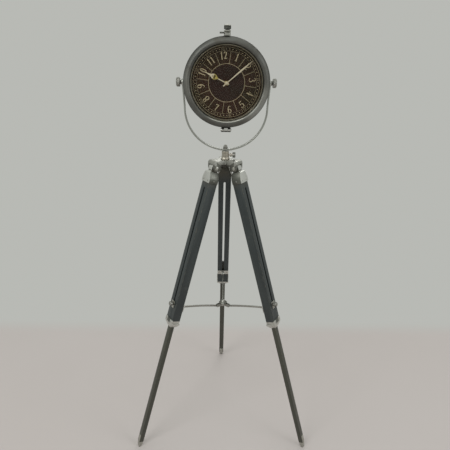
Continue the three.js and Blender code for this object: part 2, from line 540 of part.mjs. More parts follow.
// hands
function turnedHand(shape, angle) {
  return shape.rotate([0, angle, 0]);
}
{
  // hour hand: hub, stem, pierced spade, long tip
  const outline = [[-1.9, -9], [1.9, -9], [2.2, 0], [1.7, 10], [1.5, 32], [3.6, 35], [7.8, 41], [8.6, 46], [6.7, 52], [3.4, 58], [2.2, 63], [1.4, 71], [0.5, 80]];
  const full = [...outline, ...outline.slice(2).map(([x, z]) => [-x, z]).reverse()];
  let hour = join(prism('y', full, -31.4, -30.2), rod('y', 5.6, -31.4, -30.2, 0, 0, 24));
  hour = cut(hour, rod('y', 2.95, -40, 0, 0, 0, 16), rod('y', 4.4, -40, 0, 0, 44.8, 16));
  head.add(mesh('hour_hand', turnedHand(hour, HOUR_ANGLE), finish.hands));
  // minute hand: slim tapered baton
  const m = [[-2, -14], [2, -14], [1.6, 0], [1.5, 20], [2.7, 62], [2.3, 76], [0.5, 107]];
  const mfull = [...m, ...m.slice(2).map(([x, z]) => [-x, z]).reverse()];
  let minute = join(prism('y', mfull, -34.6, -33.4), turned('y', [[0, -37], [3.4, -36.6], [4.6, -35.4], [4.6, -33.4], [0, -33.4]], 20));
  minute = minute.subtract(rod('y', 1.55, -34.6, -20, 0, 0, 12));
  head.add(mesh('minute_hand', turnedHand(minute, MINUTE_ANGLE), finish.hands));
}

export default clock;
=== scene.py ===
import math
import random

import bmesh
import bpy
from mathutils import Matrix, Vector


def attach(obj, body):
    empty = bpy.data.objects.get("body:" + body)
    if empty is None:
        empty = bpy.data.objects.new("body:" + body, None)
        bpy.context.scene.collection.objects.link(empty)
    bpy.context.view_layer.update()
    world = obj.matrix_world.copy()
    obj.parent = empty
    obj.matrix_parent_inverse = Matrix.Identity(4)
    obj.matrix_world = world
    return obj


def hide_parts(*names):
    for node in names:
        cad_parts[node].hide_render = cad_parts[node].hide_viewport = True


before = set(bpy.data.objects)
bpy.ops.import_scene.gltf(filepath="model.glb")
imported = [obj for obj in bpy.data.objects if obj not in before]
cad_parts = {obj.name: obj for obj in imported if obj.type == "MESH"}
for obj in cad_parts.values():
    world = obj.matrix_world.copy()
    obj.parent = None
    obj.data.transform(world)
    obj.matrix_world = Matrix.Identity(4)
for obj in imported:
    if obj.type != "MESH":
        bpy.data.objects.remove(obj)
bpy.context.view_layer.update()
random.seed(7)

# ------------------------------------------------------------------ sizes, millimetres
AY = -93.8645                       # tripod axis
PIVOT_Z, PIVOT_R, FOOT_R = 1120.0, 46.0, 386.0
BETA = math.atan2(FOOT_R - PIVOT_R, PIVOT_Z)
LEGS = {"rear": 0.0, "left": -120.0, "right": 120.0}
LEG_W, LEG_T, LEG_L = 47.0, 33.0, 603.0
TONGUE_T = 21.0
CLOCK_Z = 1400.0
D = math.pi / 180

S = Matrix.Scale(0.001, 4)
T_TRIPOD = Matrix.Translation((0, AY, 0))
T_CLOCK = Matrix.Translation((0, AY, CLOCK_Z))


def around(azimuth):
    return T_TRIPOD @ Matrix.Rotation(-azimuth * D, 4, "Z")


def leg_frame(azimuth):
    return around(azimuth) @ Matrix.Translation((0, PIVOT_R, PIVOT_Z)) @ Matrix.Rotation(BETA, 4, "X")


# ------------------------------------------------------------------ camera
def make_camera():
    data = bpy.data.cameras.new("view")
    data.sensor_width = 36.0
    data.lens = 33.954
    data.clip_start, data.clip_end = 0.05, 60.0
    cam = bpy.data.objects.new("view", data)
    bpy.context.scene.collection.objects.link(cam)
    pitch, roll, heading = 21.786 * D, 0.973 * D, 0.0149
    ahead = Vector((heading * math.cos(pitch), math.cos(pitch), -math.sin(pitch))).normalized()
    right = ahead.cross(Vector((0, 0, 1))).normalized()
    up = right.cross(ahead)
    right, up = (right * math.cos(roll) + up * math.sin(roll), up * math.cos(roll) - right * math.sin(roll))
    turn = Matrix((right, up, -ahead)).transposed().to_4x4()
    cam.matrix_world = Matrix.Translation((-0.0189, -1.5655, 1.4833)) @ turn
    bpy.context.scene.camera = cam
    return cam


make_camera()


# ------------------------------------------------------------------ mesh helpers (millimetres until placed)
def b_from(verts, faces):
    bm = bmesh.new()
    vs = [bm.verts.new(v) for v in verts]
    for f in faces:
        bm.faces.new([vs[i] for i in f])
    bmesh.ops.recalc_face_normals(bm, faces=bm.faces)
    return bm


def b_loft(rings, closed_ring=True, cap_low=True, cap_high=True, wrap=False):
    """Skins rings of equal length; wrap joins the last ring to the first."""
    n = len(rings[0])
    verts = [v for r in rings for v in r]
    faces = []
    m = len(rings)
    for i in range(m if wrap else m - 1):
        a, b = i * n, ((i + 1) % m) * n
        for k in range(n):
            k2 = (k + 1) % n
            faces.append((a + k, a + k2, b + k2, b + k))
    if not wrap:
        if cap_low:
            faces.append(tuple(range(n)))
        if cap_high:
            faces.append(tuple((m - 1) * n + k for k in range(n)))
    return b_from(verts, faces)


def place(axis, u, v, w):
    """u, v are the two other axes in X, Y, Z order, w lies along the axis."""
    return {"x": (w, u, v), "y": (u, w, v), "z": (u, v, w)}[axis]


def b_box(x0, x1, y0, y1, z0, z1):
    q = [(x0, y0), (x1, y0), (x1, y1), (x0, y1)]
    return b_loft([[(x, y, z0) for x, y in q], [(x, y, z1) for x, y in q]])


def b_prism(axis, outline, a, b):
    return b_loft([[place(axis, u, v, a) for u, v in outline], [place(axis, u, v, b) for u, v in outline]])


def b_rod(axis, r, a, b, u=0.0, v=0.0, n=48, r2=None, edge=0.0):
    """Cylinder from a to b with a rounded rim of size edge at both ends."""
    r2 = r if r2 is None else r2
    rows = [(r, a), (r2, b)]
    if edge > 0:
        rows = [(r - edge, a), (r - edge * 0.29, a + edge * 0.29), (r, a + edge), (r2, b - edge), (r2 - edge * 0.29, b - edge * 0.29), (r2 - edge, b)]
    rings = []
    for q, h in rows:
        rings.append([place(axis, u + q * math.cos(2 * math.pi * k / n), v + q * math.sin(2 * math.pi * k / n), h) for k in range(n)])
    return b_loft(rings)


def b_turned(axis, profile, n=96, wave=None):
    """Body of revolution. profile is [(radius, height)], closed on itself or on the axis at both ends.
    wave(i, angle, radius) gives the radius change of a row."""
    closed = profile[0] == profile[-1]
    rows = profile[:-1] if closed else profile
    bm = bmesh.new()
    rings = []
    for i, (q, h) in enumerate(rows):
        if q < 1e-6:
            rings.append([bm.verts.new(place(axis, 0, 0, h))])
        else:
            ring = []
            for k in range(n):
                t = 2 * math.pi * k / n
                r = q + (wave(i, t, q) if wave else 0.0)
                ring.append(bm.verts.new(place(axis, r * math.cos(t), r * math.sin(t), h)))
            rings.append(ring)
    m = len(rings)
    for i in range(m if closed else m - 1):
        a, b = rings[i], rings[(i + 1) % m]
        if len(a) == 1 and len(b) == 1:
            continue
        for k in range(n):
            k2 = (k + 1) % n
            if len(a) == 1:
                bm.faces.new((a[0], b[k2], b[k]))
            elif len(b) == 1:
                bm.faces.new((a[k], a[k2], b[0]))
            else:
                bm.faces.new((a[k], a[k2], b[k2], b[k]))
    bmesh.ops.recalc_face_normals(bm, faces=bm.faces)
    return bm


def rounded(points, radius, steps=4, closed=None):
    """Rounds the corners of a polyline. A point may carry its own radius as a third value."""
    if closed is None:
        closed = points[0][:2] == points[-1][:2]
    pts = [Vector(p[:2]) for p in points]
    rad = [p[2] if len(p) > 2 else radius for p in points]
    if closed:
        pts, rad = pts[:-1], rad[:-1]
    n = len(pts)
    out = []
    for i in range(n):
        if not closed and i in (0, n - 1):
            out.append(tuple(pts[i]))
            continue
        p, a, b = pts[i], pts[(i - 1) % n], pts[(i + 1) % n]
        u, v = a - p, b - p
        lu, lv = u.length, v.length
        if rad[i] <= 0 or lu < 1e-6 or lv < 1e-6:
            out.append(tuple(p))
            continue
        u, v = u / lu, v / lv
        c = max(-1.0, min(1.0, u.dot(v)))
        ang = math.acos(c)
        if ang > math.pi - 0.05 or ang < 0.05:
            out.append(tuple(p))
            continue
        cutoff = min(rad[i] / math.tan(ang / 2), 0.46 * lu, 0.46 * lv)
        s, e = p + u * cutoff, p + v * cutoff
        for k in range(steps + 1):
            t = k / steps
            q = s * (1 - t) ** 2 + p * 2 * t * (1 - t) + e * t ** 2
            out.append((q.x, q.y))
    if closed:
        out.append(out[0])
    return out


def circle_outline(r, n=48, u=0.0, v=0.0):
    return [(u + r * math.cos(2 * math.pi * k / n), v + r * math.sin(2 * math.pi * k / n)) for k in range(n)]


def round_outline(points, radius, steps=4):
    """Closed outline without a repeated last point, corners rounded."""
    return rounded(list(points) + [points[0]], radius, steps)[:-1]


def b_join(*parts):
    out = bmesh.new()
    for p in parts:
        me = bpy.data.meshes.new("t")
        p.to_mesh(me)
        out.from_mesh(me)
        bpy.data.meshes.remove(me)
        p.free()
    return out


def b_move(bm, matrix):
    bmesh.ops.transform(bm, matrix=matrix, verts=bm.verts)
    return bm


def temp_object(bm):
    me = bpy.data.meshes.new("t")
    bm.to_mesh(me)
    bm.free()
    o = bpy.data.objects.new("t", me)
    bpy.context.scene.collection.objects.link(o)
    return o


def settled(o, *extra):
    """The mesh of o with its modifiers applied, as a bmesh; o and the extra objects go."""
    dg = bpy.context.evaluated_depsgraph_get()
    dg.update()
    me = bpy.data.meshes.new_from_object(o.evaluated_get(dg))
    bm = bmesh.new()
    bm.from_mesh(me)
    bpy.data.meshes.remove(me)
    for x in (o, *extra):
        data = x.data
        bpy.data.objects.remove(x)
        bpy.data.meshes.remove(data)
    return bm


def b_bool(base, *steps):
    """steps are ("+", bm) or ("-", bm)."""
    o = temp_object(base)
    others = []
    for op, bm in steps:
        t = temp_object(bm)
        others.append(t)
        m = o.modifiers.new("b", "BOOLEAN")
        m.operation = "UNION" if op == "+" else "DIFFERENCE"
        m.solver = "EXACT"
        m.object = t
    out = settled(o, *others)
    bmesh.ops.remove_doubles(out, verts=out.verts, dist=0.002)
    bmesh.ops.dissolve_degenerate(out, edges=out.edges, dist=0.002)
    return out


def b_bevel(bm, width, segments=3, angle=30):
    o = temp_object(bm)
    m = o.modifiers.new("b", "BEVEL")
    m.width = width
    m.segments = segments
    m.limit_method = "ANGLE"
    m.angle_limit = angle * D
    m.miter_outer = "MITER_ARC"
    m.use_clamp_overlap = True
    return settled(o)


def piece(name, bm, material, body, matrix=None, stands_for=(), sharp=32, local=None):
    """Places a millimetre bmesh in the row frame as an object that rides on a body.
    Its coordinates in its own frame are kept in the attribute "lc", in metres."""
    matrix = matrix or Matrix.Identity(4)
    me = bpy.data.meshes.new(name)
    bmesh.ops.triangulate(bm, faces=[f for f in bm.faces if len(f.verts) > 4])
    bm.to_mesh(me)
    bm.free()
    own = me.attributes.new("lc", "FLOAT_VECTOR", "POINT")
    for i, v in enumerate(me.vertices):
        own.data[i].vector = (local @ v.co if local else v.co) * 0.001
    me.transform(S @ matrix)
    for p in me.polygons:
        p.use_smooth = True
    me.set_sharp_from_angle(angle=sharp * D)
    me.update()
    o = bpy.data.objects.new(name, me)
    bpy.context.scene.collection.objects.link(o)
    for m in material if isinstance(material, (list, tuple)) else [material]:
        me.materials.append(m)
    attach(o, body)
    if stands_for:
        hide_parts(*stands_for)
    return o


# ------------------------------------------------------------------ materials
class Nodes:
    """Small builder for one material's node tree."""

    def __init__(self, name):
        self.material = bpy.data.materials.new(name)
        self.material.use_nodes = True
        self.tree = self.material.node_tree
        self.bsdf = next(n for n in self.tree.nodes if n.type == "BSDF_PRINCIPLED")

    def node(self, kind, **settings):
        n = self.tree.nodes.new(kind)
        for key, value in settings.items():
            setattr(n, key, value)
        return n

    def feed(self, socket, value):
        if isinstance(value, bpy.types.NodeSocket):
            self.tree.links.new(value, socket)
        else:
            socket.default_value = value

    def set(self, **inputs):
        for key, value in inputs.items():
            self.feed(self.bsdf.inputs[key.replace("_", " ")], value)

    def coords(self, kind="Object"):
        return self.node("ShaderNodeTexCoord").outputs[kind]

    def local(self):
        return self.node("ShaderNodeAttribute", attribute_name="lc").outputs["Vector"]

    def scaled(self, vector, scale, shift=(0, 0, 0)):
        n = self.node("ShaderNodeMapping")
        self.feed(n.inputs["Vector"], vector)
        n.inputs["Scale"].default_value = scale if isinstance(scale, tuple) else (scale,) * 3
        n.inputs["Location"].default_value = shift
        return n.outputs["Vector"]

    def noise(self, vector, scale=5.0, detail=3.0, rough=0.55, distortion=0.0):
        n = self.node("ShaderNodeTexNoise")
        self.feed(n.inputs["Vector"], vector)
        n.inputs["Scale"].default_value = scale
        n.inputs["Detail"].default_value = detail
        n.inputs["Roughness"].default_value = rough
        n.inputs["Distortion"].default_value = distortion
        return n.outputs["Fac"]

    def math(self, op, a, b=0.0, c=0.0, clamp=False):
        n = self.node("ShaderNodeMath", operation=op, use_clamp=clamp)
        self.feed(n.inputs[0], a)
        self.feed(n.inputs[1], b)
        self.feed(n.inputs[2], c)
        return n.outputs[0]

    def span(self, value, a, b, lo=0.0, hi=1.0, smooth=True):
        n = self.node("ShaderNodeMapRange", interpolation_type="SMOOTHSTEP" if smooth else "LINEAR")
        self.feed(n.inputs["Value"], value)
        for key, v in (("From Min", a), ("From Max", b), ("To Min", lo), ("To Max", hi)):
            self.feed(n.inputs[key], v)
        return n.outputs["Result"]

    def mix(self, fac, a, b, kind="MIX"):
        n = self.node("ShaderNodeMix", data_type="RGBA", blend_type=kind)
        self.feed(n.inputs[0], fac)
        self.feed(n.inputs[6], a if isinstance(a, bpy.types.NodeSocket) else (*a, 1.0))
        self.feed(n.inputs[7], b if isinstance(b, bpy.types.NodeSocket) else (*b, 1.0))
        return n.outputs[2]

    def split(self, vector):
        n = self.node("ShaderNodeSeparateXYZ")
        self.feed(n.inputs[0], vector)
        return n.outputs

    def vector(self, x, y, z):
        n = self.node("ShaderNodeCombineXYZ")
        for i, v in enumerate((x, y, z)):
            self.feed(n.inputs[i], v)
        return n.outputs[0]

    def ramp(self, fac, stops):
        n = self.node("ShaderNodeValToRGB")
        self.feed(n.inputs[0], fac)
        e = n.color_ramp.elements
        while len(e) > 2:
            e.remove(e[-1])
        for i, (pos, col) in enumerate(stops):
            item = e[i] if i < 2 else e.new(pos)
            item.position = pos
            item.color = (*col, 1.0)
        return n.outputs["Color"]

    def bump(self, height, strength=0.2, distance=0.001, normal=None):
        n = self.node("ShaderNodeBump")
        n.inputs["Strength"].default_value = strength
        n.inputs["Distance"].default_value = distance
        self.feed(n.inputs["Height"], height)
        if normal is not None:
            self.feed(n.inputs["Normal"], normal)
        return n.outputs["Normal"]


def srgb(r, g, b):
    f = lambda v: v / 12.92 if v <= 0.04045 else ((v + 0.055) / 1.055) ** 2.4
    return tuple(f(x / 255) for x in (r, g, b))


def painted_wood(name, tone, tone2, wear, bar=False):
    """Black paint over straight-grained hardwood. lc runs along the leg on Z."""
    m = Nodes(name)
    lc = m.local()
    grain = m.noise(m.scaled(lc, (330.0, 330.0, 9.0)), 1.0, 4.0, 0.6, 0.4)
    broad = m.noise(m.scaled(lc, (45.0, 45.0, 5.0), (3, 1, 7)), 1.0, 3.0, 0.5)
    pores = m.noise(m.scaled(lc, (900.0, 900.0, 34.0), (9, 2, 4)), 1.0, 2.0, 0.5)
    dust = m.noise(m.scaled(m.coords(), 38.0), 1.0, 5.0, 0.62)
    base = m.mix(m.span(broad, 0.34, 0.68), tone, tone2)
    base = m.mix(m.span(grain, 0.5, 0.72, 0.0, 0.35), base, tuple(c * 1.9 for c in tone2))
    base = m.mix(m.span(dust, 0.56, 0.8, 0.0, 0.22), base, srgb(104, 106, 100))
    # worn paint along the long edges
    x, y, z = m.split(lc)
    hx, hy = (0.0105, 0.008) if bar else (0.0235, 0.0165)
    ex = m.math("SUBTRACT", hx, m.math("ABSOLUTE", x))
    ey = m.math("SUBTRACT", hy, m.math("ABSOLUTE", y))
    off = m.math("MAXIMUM", ex, ey)
    chips = m.noise(m.scaled(lc, (700.0, 700.0, 120.0), (5, 5, 5)), 1.0, 4.0, 0.65)
    worn = m.math("SUBTRACT", m.span(chips, 0.42, 0.72, 0.0, 0.0016), off)
    base = m.mix(m.span(worn, 0.0, 0.0004, 0.0, 0.8), base, wear)
    if not bar:
        tongue = m.math("MULTIPLY", m.span(z, -0.085, -0.02), m.span(dust, 0.25, 0.6, 0.55, 1.0))
        base = m.mix(tongue, base, srgb(78, 75, 64))
        # the sheet of the collar runs up the two sides of the leg
        sheet = m.math("MULTIPLY", m.span(z, -0.5900, -0.5908), m.span(m.math("ABSOLUTE", x), 0.0229, 0.0233))
        base = m.mix(sheet, base, m.mix(m.span(dust, 0.3, 0.7), srgb(208, 209, 204), srgb(186, 186, 180)))
        m.set(Metallic=sheet)
    m.set(Base_Color=base)
    m.set(Roughness=m.span(m.math("ADD", m.math("MULTIPLY", grain, 0.6), m.math("MULTIPLY", dust, 0.4)), 0.3, 0.7, 0.34, 0.56))
    height = m.math("ADD", m.math("MULTIPLY", grain, 0.6), m.math("MULTIPLY", pores, 0.4))
    m.set(Normal=m.bump(height, 0.28, 0.0006))
    m.set(Specular_IOR_Level=0.5)
    return m.material


def dark_plate_middle(m, base):
    """Painted shade: the middle of the plate on the outer face is darker than its edges."""
    x, y, z = m.split(m.local())
    middle = m.math("MULTIPLY", m.span(m.math("ABSOLUTE", x), 0.0125, 0.0105, 0.0, 0.9), m.span(y, 0.0164, 0.0172))
    middle = m.math("MULTIPLY", middle, m.span(z, -0.6025, -0.6005))
    return m.mix(middle, base, srgb(92, 94, 88))


def dark_cone_sides(m, base):
    """Painted reflection: the cone is darker on both sides of a bright middle stripe."""
    x, y, z = m.split(m.local())
    side = m.math("MULTIPLY", m.span(m.math("ABSOLUTE", x), 0.0030, 0.0065, 0.0, 0.8), m.span(z, 0.004, 0.008))
    return m.mix(side, base, srgb(92, 93, 86))


def polished(name, tone, tone2, rough, spread=0.1, scratch=0.5, scale=1.0, metal=1.0, shade=None):
    """Plated metal: cloudy tone, fine scratches, fingerprints in the roughness."""
    m = Nodes(name)
    co = m.coords()
    cloud = m.noise(m.scaled(co, 26.0 * scale), 1.0, 4.0, 0.6, 0.3)
    fine = m.noise(m.scaled(co, (420.0 * scale, 420.0 * scale, 60.0 * scale)), 1.0, 3.0, 0.6)
    cross = m.noise(m.scaled(co, (70.0 * scale, 500.0 * scale, 500.0 * scale), (4, 4, 1)), 1.0, 3.0, 0.6)
    spots = m.noise(m.scaled(co, 240.0 * scale, (1, 8, 3)), 1.0, 2.0, 0.5)
    base = m.mix(m.span(cloud, 0.32, 0.7), tone, tone2)
    base = m.mix(m.span(spots, 0.66, 0.8, 0.0, 0.35), base, tuple(c * 0.55 for c in tone2))
    lines = m.math("MAXIMUM", m.span(fine, 0.58, 0.74), m.span(cross, 0.6, 0.76))
    if shade:
        base = shade(m, base)
    m.set(Base_Color=base, Metallic=metal)
    r = m.math("ADD", m.span(cloud, 0.3, 0.75, rough, rough + spread), m.math("MULTIPLY", lines, 0.09 * scratch))
    m.set(Roughness=r)
    m.set(Normal=m.bump(m.math("ADD", m.math("MULTIPLY", fine, 0.5), m.math("MULTIPLY", cross, 0.5)), 0.045 * scratch, 0.0005))
    return m.material


def spun(name, tone, tone2, tone3, rough, spread=0.12, strength=0.05, metal=1.0, painted_light=False):
    """Plated spinning: marks run round the clock's axis, with larger stains.

    With the switch on, the tone also carries painted light and shade: lighter and darker lobes
    by direction round the axis, painted shade at the rim, and a painted highlight on the lower inner edge."""
    m = Nodes(name)
    co = m.coords()
    x, y, z = m.split(co)
    dz = m.math("SUBTRACT", z, CLOCK_Z / 1000)
    r = m.math("SQRT", m.math("ADD", m.math("MULTIPLY", x, x), m.math("MULTIPLY", dz, dz)))
    ang = m.math("ARCTAN2", dz, x)
    rings = m.noise(m.vector(m.math("MULTIPLY", r, 1400.0), m.math("MULTIPLY", y, 1400.0), m.math("MULTIPLY", m.math("SINE", ang), 1.2)), 1.0, 3.0, 0.6)
    band = m.noise(m.vector(m.math("MULTIPLY", r, 160.0), m.math("MULTIPLY", y, 160.0), m.math("MULTIPLY", m.math("COSINE", ang), 1.5)), 1.0, 2.0, 0.5)
    stain = m.noise(m.scaled(co, 15.0), 1.0, 5.0, 0.6, 0.6)
    fleck = m.noise(m.scaled(co, 170.0, (2, 6, 1)), 1.0, 4.0, 0.65)
    base = m.mix(m.span(stain, 0.34, 0.66), tone, tone2)
    base = m.mix(m.span(fleck, 0.6, 0.76, 0.0, 0.5), base, tone3)
    base = m.mix(m.span(band, 0.5, 0.75, 0.0, 0.35), base, tone3)
    if painted_light:
        # painted light and shade: the tone is lifted or lowered by direction round the clock's axis
        side, up = m.math("COSINE", ang), m.math("SINE", ang)
        painted_light_level = 0.68
        for at, start, amount in ((328, 0.80, 0.66), (183, 0.88, 0.25), (85, 0.85, 0.16), (137, 0.88, -0.15)):
            near = m.math("ADD", m.math("MULTIPLY", side, math.cos(at * D)), m.math("MULTIPLY", up, math.sin(at * D)))
            painted_light_level = m.math("ADD", painted_light_level, m.span(near, start, 1.0, 0.0, amount))
        # painted shade on the rolled rim
        painted_light_level = m.math("MULTIPLY", painted_light_level, m.span(r, 0.1355, 0.1395, 1.0, 0.5))
        base = m.mix(1.0, base, m.vector(painted_light_level, painted_light_level, painted_light_level), "MULTIPLY")
        # painted highlight on the lower inner edge
        painted_highlight = m.math("MULTIPLY", m.span(r, 0.1204, 0.1222, 1.0, 0.0), m.span(dz, -0.114, -0.098, 1.0, 0.0))
        base = m.mix(painted_highlight, base, srgb(214, 214, 206))
    m.set(Base_Color=base, Metallic=metal)
    rr = m.math("ADD", m.span(stain, 0.3, 0.7, rough, rough + spread), m.math("MULTIPLY", m.span(fleck, 0.5, 0.8), 0.1))
    m.set(Roughness=rr)
    m.set(Normal=m.bump(m.math("ADD", m.math("MULTIPLY", rings, 0.7), m.math("MULTIPLY", fleck, 0.3)), strength, 0.0006))
    return m.material


def dial_face():
    m = Nodes("dial_lacquer")
    co = m.coords()
    x, y, z = m.split(co)
    dz = m.math("SUBTRACT", z, CLOCK_Z / 1000)
    broad = m.noise(m.scaled(co, 11.0, (3, 0, 2)), 1.0, 4.0, 0.6, 0.5)
    mottle = m.noise(m.scaled(co, 70.0, (1, 1, 9)), 1.0, 5.0, 0.65)
    fibre = m.noise(m.scaled(co, 900.0), 1.0, 3.0, 0.6)
    base = m.mix(m.span(broad, 0.36, 0.64), srgb(58, 35, 23), srgb(50, 36, 18))
    olive = m.math("MULTIPLY", m.span(x, -0.02, -0.10), m.span(mottle, 0.35, 0.7))
    base = m.mix(m.math("MULTIPLY", olive, 0.5), base, srgb(70, 56, 24))
    green = m.math("MULTIPLY", m.span(x, 0.02, 0.10), m.span(broad, 0.3, 0.7))
    base = m.mix(m.math("MULTIPLY", green, 0.6), base, srgb(44, 43, 26))
    r = m.math("SQRT", m.math("ADD", m.math("MULTIPLY", x, x), m.math("MULTIPLY", dz, dz)))
    base = m.mix(m.span(r, 0.052, 0.062, 0.5, 0.0), base, srgb(40, 28, 26))
    base = m.mix(m.math("MULTIPLY", m.span(mottle, 0.55, 0.8), 0.16), base, srgb(84, 64, 44))
    m.set(Base_Color=base)
    m.set(Roughness=m.span(mottle, 0.3, 0.75, 0.42, 0.62), Specular_IOR_Level=0.22)
    m.set(Normal=m.bump(fibre, 0.1, 0.0003))
    return m.material


def dial_print(name, tone, tone2, gap=0.58):
    """Aged printed ink: worn patches in its tone."""
    m = Nodes(name)
    co = m.coords()
    mottle = m.noise(m.scaled(co, 120.0, (2, 2, 5)), 1.0, 5.0, 0.7)
    big = m.noise(m.scaled(co, 16.0, (6, 1, 2)), 1.0, 3.0, 0.6)
    base = m.mix(m.span(big, 0.35, 0.65), tone, tone2)
    base = m.mix(m.span(mottle, gap, gap + 0.16, 0.0, 0.55), base, srgb(88, 72, 50))
    m.set(Base_Color=base, Roughness=m.span(mottle, 0.3, 0.7, 0.4, 0.6))
    m.set(Normal=m.bump(mottle, 0.12, 0.0004))
    return m.material


def pane_glass():
    m = Nodes("clear_pane")
    co = m.coords()
    haze = m.noise(m.scaled(co, 14.0), 1.0, 4.0, 0.6)
    specks = m.noise(m.scaled(co, 420.0, (3, 3, 3)), 1.0, 3.0, 0.6)
    m.set(Base_Color=m.mix(haze, srgb(30, 34, 30), srgb(44, 46, 40)))
    m.set(Roughness=m.math("ADD", m.span(haze, 0.3, 0.7, 0.02, 0.06), m.span(specks, 0.68, 0.8, 0.0, 0.2)))
    m.set(Alpha=0.08, Specular_IOR_Level=0.6)
    return m.material


def moulded(name, tone, tone2, rough=0.45, scale=1.0):
    m = Nodes(name)
    co = m.coords()
    grainy = m.noise(m.scaled(co, 900.0 * scale), 1.0, 3.0, 0.6)
    cloud = m.noise(m.scaled(co, 45.0 * scale), 1.0, 3.0, 0.5)
    m.set(Base_Color=m.mix(m.span(cloud, 0.35, 0.65), tone, tone2))
    m.set(Roughness=m.span(cloud, 0.3, 0.7, rough - 0.07, rough + 0.08))
    m.set(Normal=m.bump(grainy, 0.18, 0.0003))
    return m.material


WOOD = painted_wood("black_leg_paint", srgb(42, 49, 50), srgb(52, 59, 59), srgb(104, 98, 84))
BAR = painted_wood("black_bar_paint", srgb(56, 57, 49), srgb(66, 66, 57), srgb(110, 104, 88), bar=True)
CHROME = polished("bright_nickel_plate", srgb(210, 210, 206), srgb(198, 197, 191), 0.12, 0.10)
CASTING = polished("head_casting_plate", srgb(178, 179, 173), srgb(154, 154, 147), 0.36, 0.14, 0.7)
CAP = polished("cap_plate_nickel", srgb(217, 218, 214), srgb(201, 202, 197), 0.38, 0.12, 0.6)
# a darker copy of the cap nickel for the cheeks: painted shade
CAP_SIDE = polished("cap_cheek_nickel", srgb(112, 113, 107), srgb(96, 97, 91), 0.34, 0.12, 0.6)
# a darker copy of the casting's metal for the sides of the ears: painted shade
CASTING_SHADE_SIDE = polished("head_ear_painted_shade", srgb(128, 129, 122), srgb(108, 108, 102), 0.34, 0.14, 0.7)
# the hub cone carries a painted reflection: dark sides beside a bright stripe
HUB = polished("hub_plate", srgb(170, 171, 166), srgb(148, 148, 142), 0.26, 0.14, 0.8, shade=dark_cone_sides)
# the middle of the ferrule's outer plate is painted darker: painted shade
FERRULE = polished("ferrule_plate", srgb(208, 209, 204), srgb(190, 190, 184), 0.30, 0.12, 0.6, shade=dark_plate_middle)
LOCK = polished("lock_knob_plate", srgb(170, 171, 166), srgb(150, 150, 144), 0.34, 0.12, 0.4)
ARM = polished("arm_strip_plate", srgb(170, 171, 166), srgb(148, 148, 142), 0.26, 0.14, 0.7)
# darker copy of the chrome for the top and bottom of the hinge barrel: painted shade
BARREL_SHADE = polished("barrel_painted_shade", srgb(88, 88, 84), srgb(72, 72, 68), 0.34, 0.10, 0.4)
POST = polished("post_plate", srgb(188, 183, 171), srgb(166, 160, 147), 0.38, 0.10, 0.3)
DOME = polished("dome_plate", srgb(206, 206, 200), srgb(192, 191, 184), 0.34, 0.10, 0.25)
YOKE_PLATE = polished("yoke_strip_plate", srgb(182, 184, 178), srgb(168, 169, 163), 0.24, 0.10, 0.5)
SATIN = polished("satin_nickel_plate", srgb(186, 187, 180), srgb(172, 171, 163), 0.26, 0.12, 0.8)
KNOB = polished("knob_nickel_plate", srgb(166, 166, 161), srgb(146, 145, 139), 0.26, 0.12, 0.6)
# the bezel's tone carries painted light and shade by direction, painted shade at the rim and a painted highlight on the
# lower inner edge
GUNMETAL = spun("dark_nickel_spun", srgb(130, 131, 127), srgb(118, 117, 111), srgb(141, 140, 133), 0.46, painted_light=True)
DRUM = spun("dark_nickel_case", srgb(112, 113, 108), srgb(98, 97, 92), srgb(126, 122, 114), 0.28)
# darker nickel for the groove behind the bezel's opening: painted shade
GROOVE_SHADE = spun("bezel_groove_painted_shade", srgb(78, 77, 70), srgb(62, 61, 54), srgb(104, 100, 90), 0.30)
RIM = spun("inner_rim_nickel", srgb(144, 138, 122), srgb(122, 116, 100), srgb(160, 155, 140), 0.36)
NECK = polished("screw_neck_plate", srgb(226, 219, 209), srgb(206, 198, 188), 0.32, 0.12, 0.3)
DIAL = dial_face()
INK = dial_print("dial_ink", srgb(206, 190, 154), srgb(190, 175, 138), 0.62)
LINE_INK = dial_print("dial_line_ink", srgb(186, 168, 136), srgb(172, 162, 126))
HAND = polished("gilt_hand", srgb(232, 220, 192), srgb(220, 208, 174), 0.36, 0.12, 0.4, metal=0.25)
SPADE = polished("gilt_spade", srgb(204, 188, 112), srgb(186, 168, 92), 0.34, 0.12, 0.4, metal=0.4)
BRASS = polished("gear_brass", srgb(196, 168, 98), srgb(176, 148, 80), 0.28, 0.14, 0.6, scale=2.0)
GLASS = pane_glass()
PLASTIC = moulded("movement_plastic", srgb(26, 26, 28), srgb(34, 34, 36))
KNOB_PLASTIC = moulded("setting_knob_plastic", srgb(52, 52, 54), srgb(44, 44, 46), 0.4, 1.4)
SLEEVE = moulded("battery_sleeve", srgb(64, 108, 84), srgb(54, 92, 74), 0.3)


# ------------------------------------------------------------------ tripod head
def fork_outline():
    """Side view of a fork, radius and height: bridge on top, ear below with a round lower corner."""
    pts = [(30, PIVOT_Z - 9.5), (32, PIVOT_Z - 11.5)]
    for k in range(11):
        t = (-90 + 9 * k) * D
        pts.append((PIVOT_R + 11.5 * math.cos(t), PIVOT_Z + 11.5 * math.sin(t)))
    for k in range(9):
        t = 90 * k / 8 * D
        pts.append((PIVOT_R + 1.5 + 10 * math.cos(t), 1135 + 10 * math.sin(t)))
    pts += [(14, 1145), (14, 1130), (30, 1130)]
    return pts


